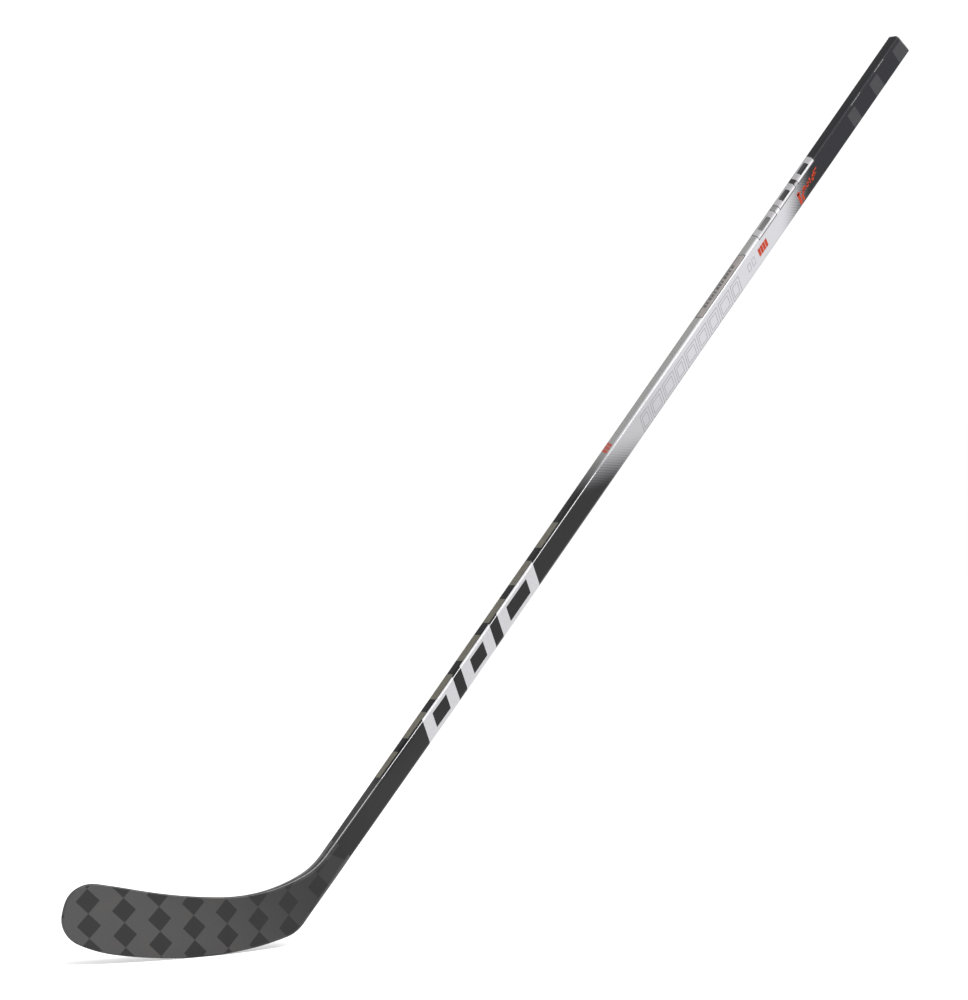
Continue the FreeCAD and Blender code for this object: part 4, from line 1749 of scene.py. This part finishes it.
@dataclass
class ShaftLabel:
    """The printed label on the narrow upper face, folded a little way over the corner."""

    printer: FilmPrinter = field(default_factory=FilmPrinter)
    start: float = 1004 * MM
    length: float = 113 * MM
    far: float = -14.4 * MM
    near: float = 0.9 * MM

    def build(self, palette: Palette) -> None:
        """Make the label, its outline and its rows of ticks.

        Args:
            palette: The stick's finishes.
        """
        side = Side.BACKHAND
        sheet = bmesh.new()
        slanted_block(sheet, self.start, self.length, self.far, self.near, 0.0)
        self.printer.print("label_sheet", sheet, palette.label, "label_film", side, Layer.SHEET,
                           ("shaft_label",))
        lines = bmesh.new()
        faces = slanted_block(lines, self.start, self.length, self.far, self.near, 0.0)
        open_outline(lines, faces, 1.1 * MM)
        for number in range(12):
            width = (4.4, 3.1, 5.0)[number % 3]
            slanted_block(lines, self.start + (17 + number * 6.4) * MM, width * MM,
                          -12.2 * MM, -6.4 * MM, -0.3)
        self.printer.print("label_print", lines, palette.dark_line, "label_film", side, Layer.TOP)


def dress_hidden_nodes(palette: Palette) -> None:
    """Give every carried-over node its own finish.

    Args:
        palette: The stick's finishes.
    """
    finishes = {
        "shaft_inner_laminate": palette.laminate,
        "blade_tenon": palette.laminate,
        "plug_glue_film": palette.glue,
        "tenon_bond_film": palette.glue,
        "hosel_foam_core": palette.foam,
        "blade_core_upper": palette.foam,
        "blade_core_lower": palette.foam,
        "blade_toe_core": palette.toe_foam,
        "blade_rib": palette.rib,
    }
    for node, material in finishes.items():
        for slot in frame["nodes"][node].material_slots:
            slot.material = material
        LOG.info("%s: %s", node, material.name)


# ---------------------------------------------------------------------------------------------------------
# Studio
# ---------------------------------------------------------------------------------------------------------


@dataclass
class Studio:
    """Pale floor, white surroundings and one long soft lamp."""

    floor_size: float = 150.0
    floor_colour: Colour = (0.96, 0.96, 0.96)
    surroundings: float = 1.06
    lamp_place: tuple[float, float, float] = (0.20, -2.30, 2.45)
    lamp_aim: tuple[float, float, float] = (0.45, 0.0, 0.55)
    lamp_size: tuple[float, float] = (4.2, 0.9)
    lamp_power: float = 160.0

    def floor(self) -> None:
        """Lay the floor."""
        mesh = bmesh.new()
        bmesh.ops.create_grid(mesh, x_segments=1, y_segments=1, size=self.floor_size)
        data = bpy.data.meshes.new("studio_floor")
        mesh.to_mesh(data)
        mesh.free()
        shade = Shade("studio_floor_paint")
        shade.set(Base_Color=self.floor_colour, Roughness=0.9, Specular_IOR_Level=0.0)
        data.materials.append(shade.material)
        piece = bpy.data.objects.new("studio_floor", data)
        bpy.context.scene.collection.objects.link(piece)

    def sky(self) -> None:
        """Surround the stage with even white light."""
        world = bpy.data.worlds.new("studio_surroundings")
        world.use_nodes = True
        background = world.node_tree.nodes["Background"]
        background.inputs["Color"].default_value = (1.0, 1.0, 1.0, 1.0)
        background.inputs["Strength"].default_value = self.surroundings
        bpy.context.scene.world = world

    def lamp(self) -> None:
        """Hang the one long soft lamp."""
        data = bpy.data.lights.new("softbox_strip", "AREA")
        data.shape = "RECTANGLE"
        data.size, data.size_y = self.lamp_size
        data.energy = self.lamp_power
        lamp = bpy.data.objects.new("softbox_strip", data)
        lamp.location = self.lamp_place
        aim = Vector(self.lamp_aim) - Vector(self.lamp_place)
        lamp.rotation_euler = aim.to_track_quat("-Z", "Y").to_euler()
        bpy.context.scene.collection.objects.link(lamp)

    def build(self) -> None:
        """Set up the stage."""
        self.floor()
        self.sky()
        self.lamp()


@dataclass
class StudioCamera:
    """The camera, far off and almost level with the stick."""

    turn: float = -36.139
    rise: float = 0.839
    roll: float = -2.573
    distance: float = 5.8373
    lens: float = 166.12
    aim_x: float = 0.3168
    aim_z: float = 0.5202

    def build(self) -> None:
        """Place the camera and make it the scene's own."""
        turn = math.radians(self.turn)
        rise = math.radians(self.rise)
        roll = math.radians(self.roll)
        back = Vector((math.sin(turn) * math.cos(rise), -math.cos(turn) * math.cos(rise), math.sin(rise)))
        right = (-back).cross(Vector((0, 0, 1))).normalized()
        up = back.cross(right)
        rolled_right = right * math.cos(roll) + up * math.sin(roll)
        rolled_up = up * math.cos(roll) - right * math.sin(roll)
        heel = STICK.heel
        aim = Vector((heel.x + self.aim_x, heel.y, heel.z + self.aim_z))
        data = bpy.data.cameras.new("studio_camera")
        data.lens = self.lens
        data.sensor_width = 36.0
        data.sensor_fit = "AUTO"
        data.clip_end = 500.0
        camera = bpy.data.objects.new("studio_camera", data)
        axes = Matrix((rolled_right, rolled_up, back)).transposed().to_4x4()
        camera.matrix_world = Matrix.Translation(aim + back * self.distance) @ axes
        bpy.context.scene.collection.objects.link(camera)
        bpy.context.scene.camera = camera


def main() -> None:
    """Build the stick's looks in order and report each piece."""
    logging.basicConfig(level=logging.INFO, format="%(message)s")
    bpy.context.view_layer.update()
    bpy.context.scene.view_settings.view_transform = "Standard"
    palette = Palette()
    StudioCamera().build()
    BladeShell().build(palette)
    ShaftShell().build(palette)
    EndPlug().build(palette)
    ShaftMarks().build(palette)
    ShaftLabel().build(palette)
    dress_hidden_nodes(palette)
    Studio().build()


if __name__ == "__main__":
    main()
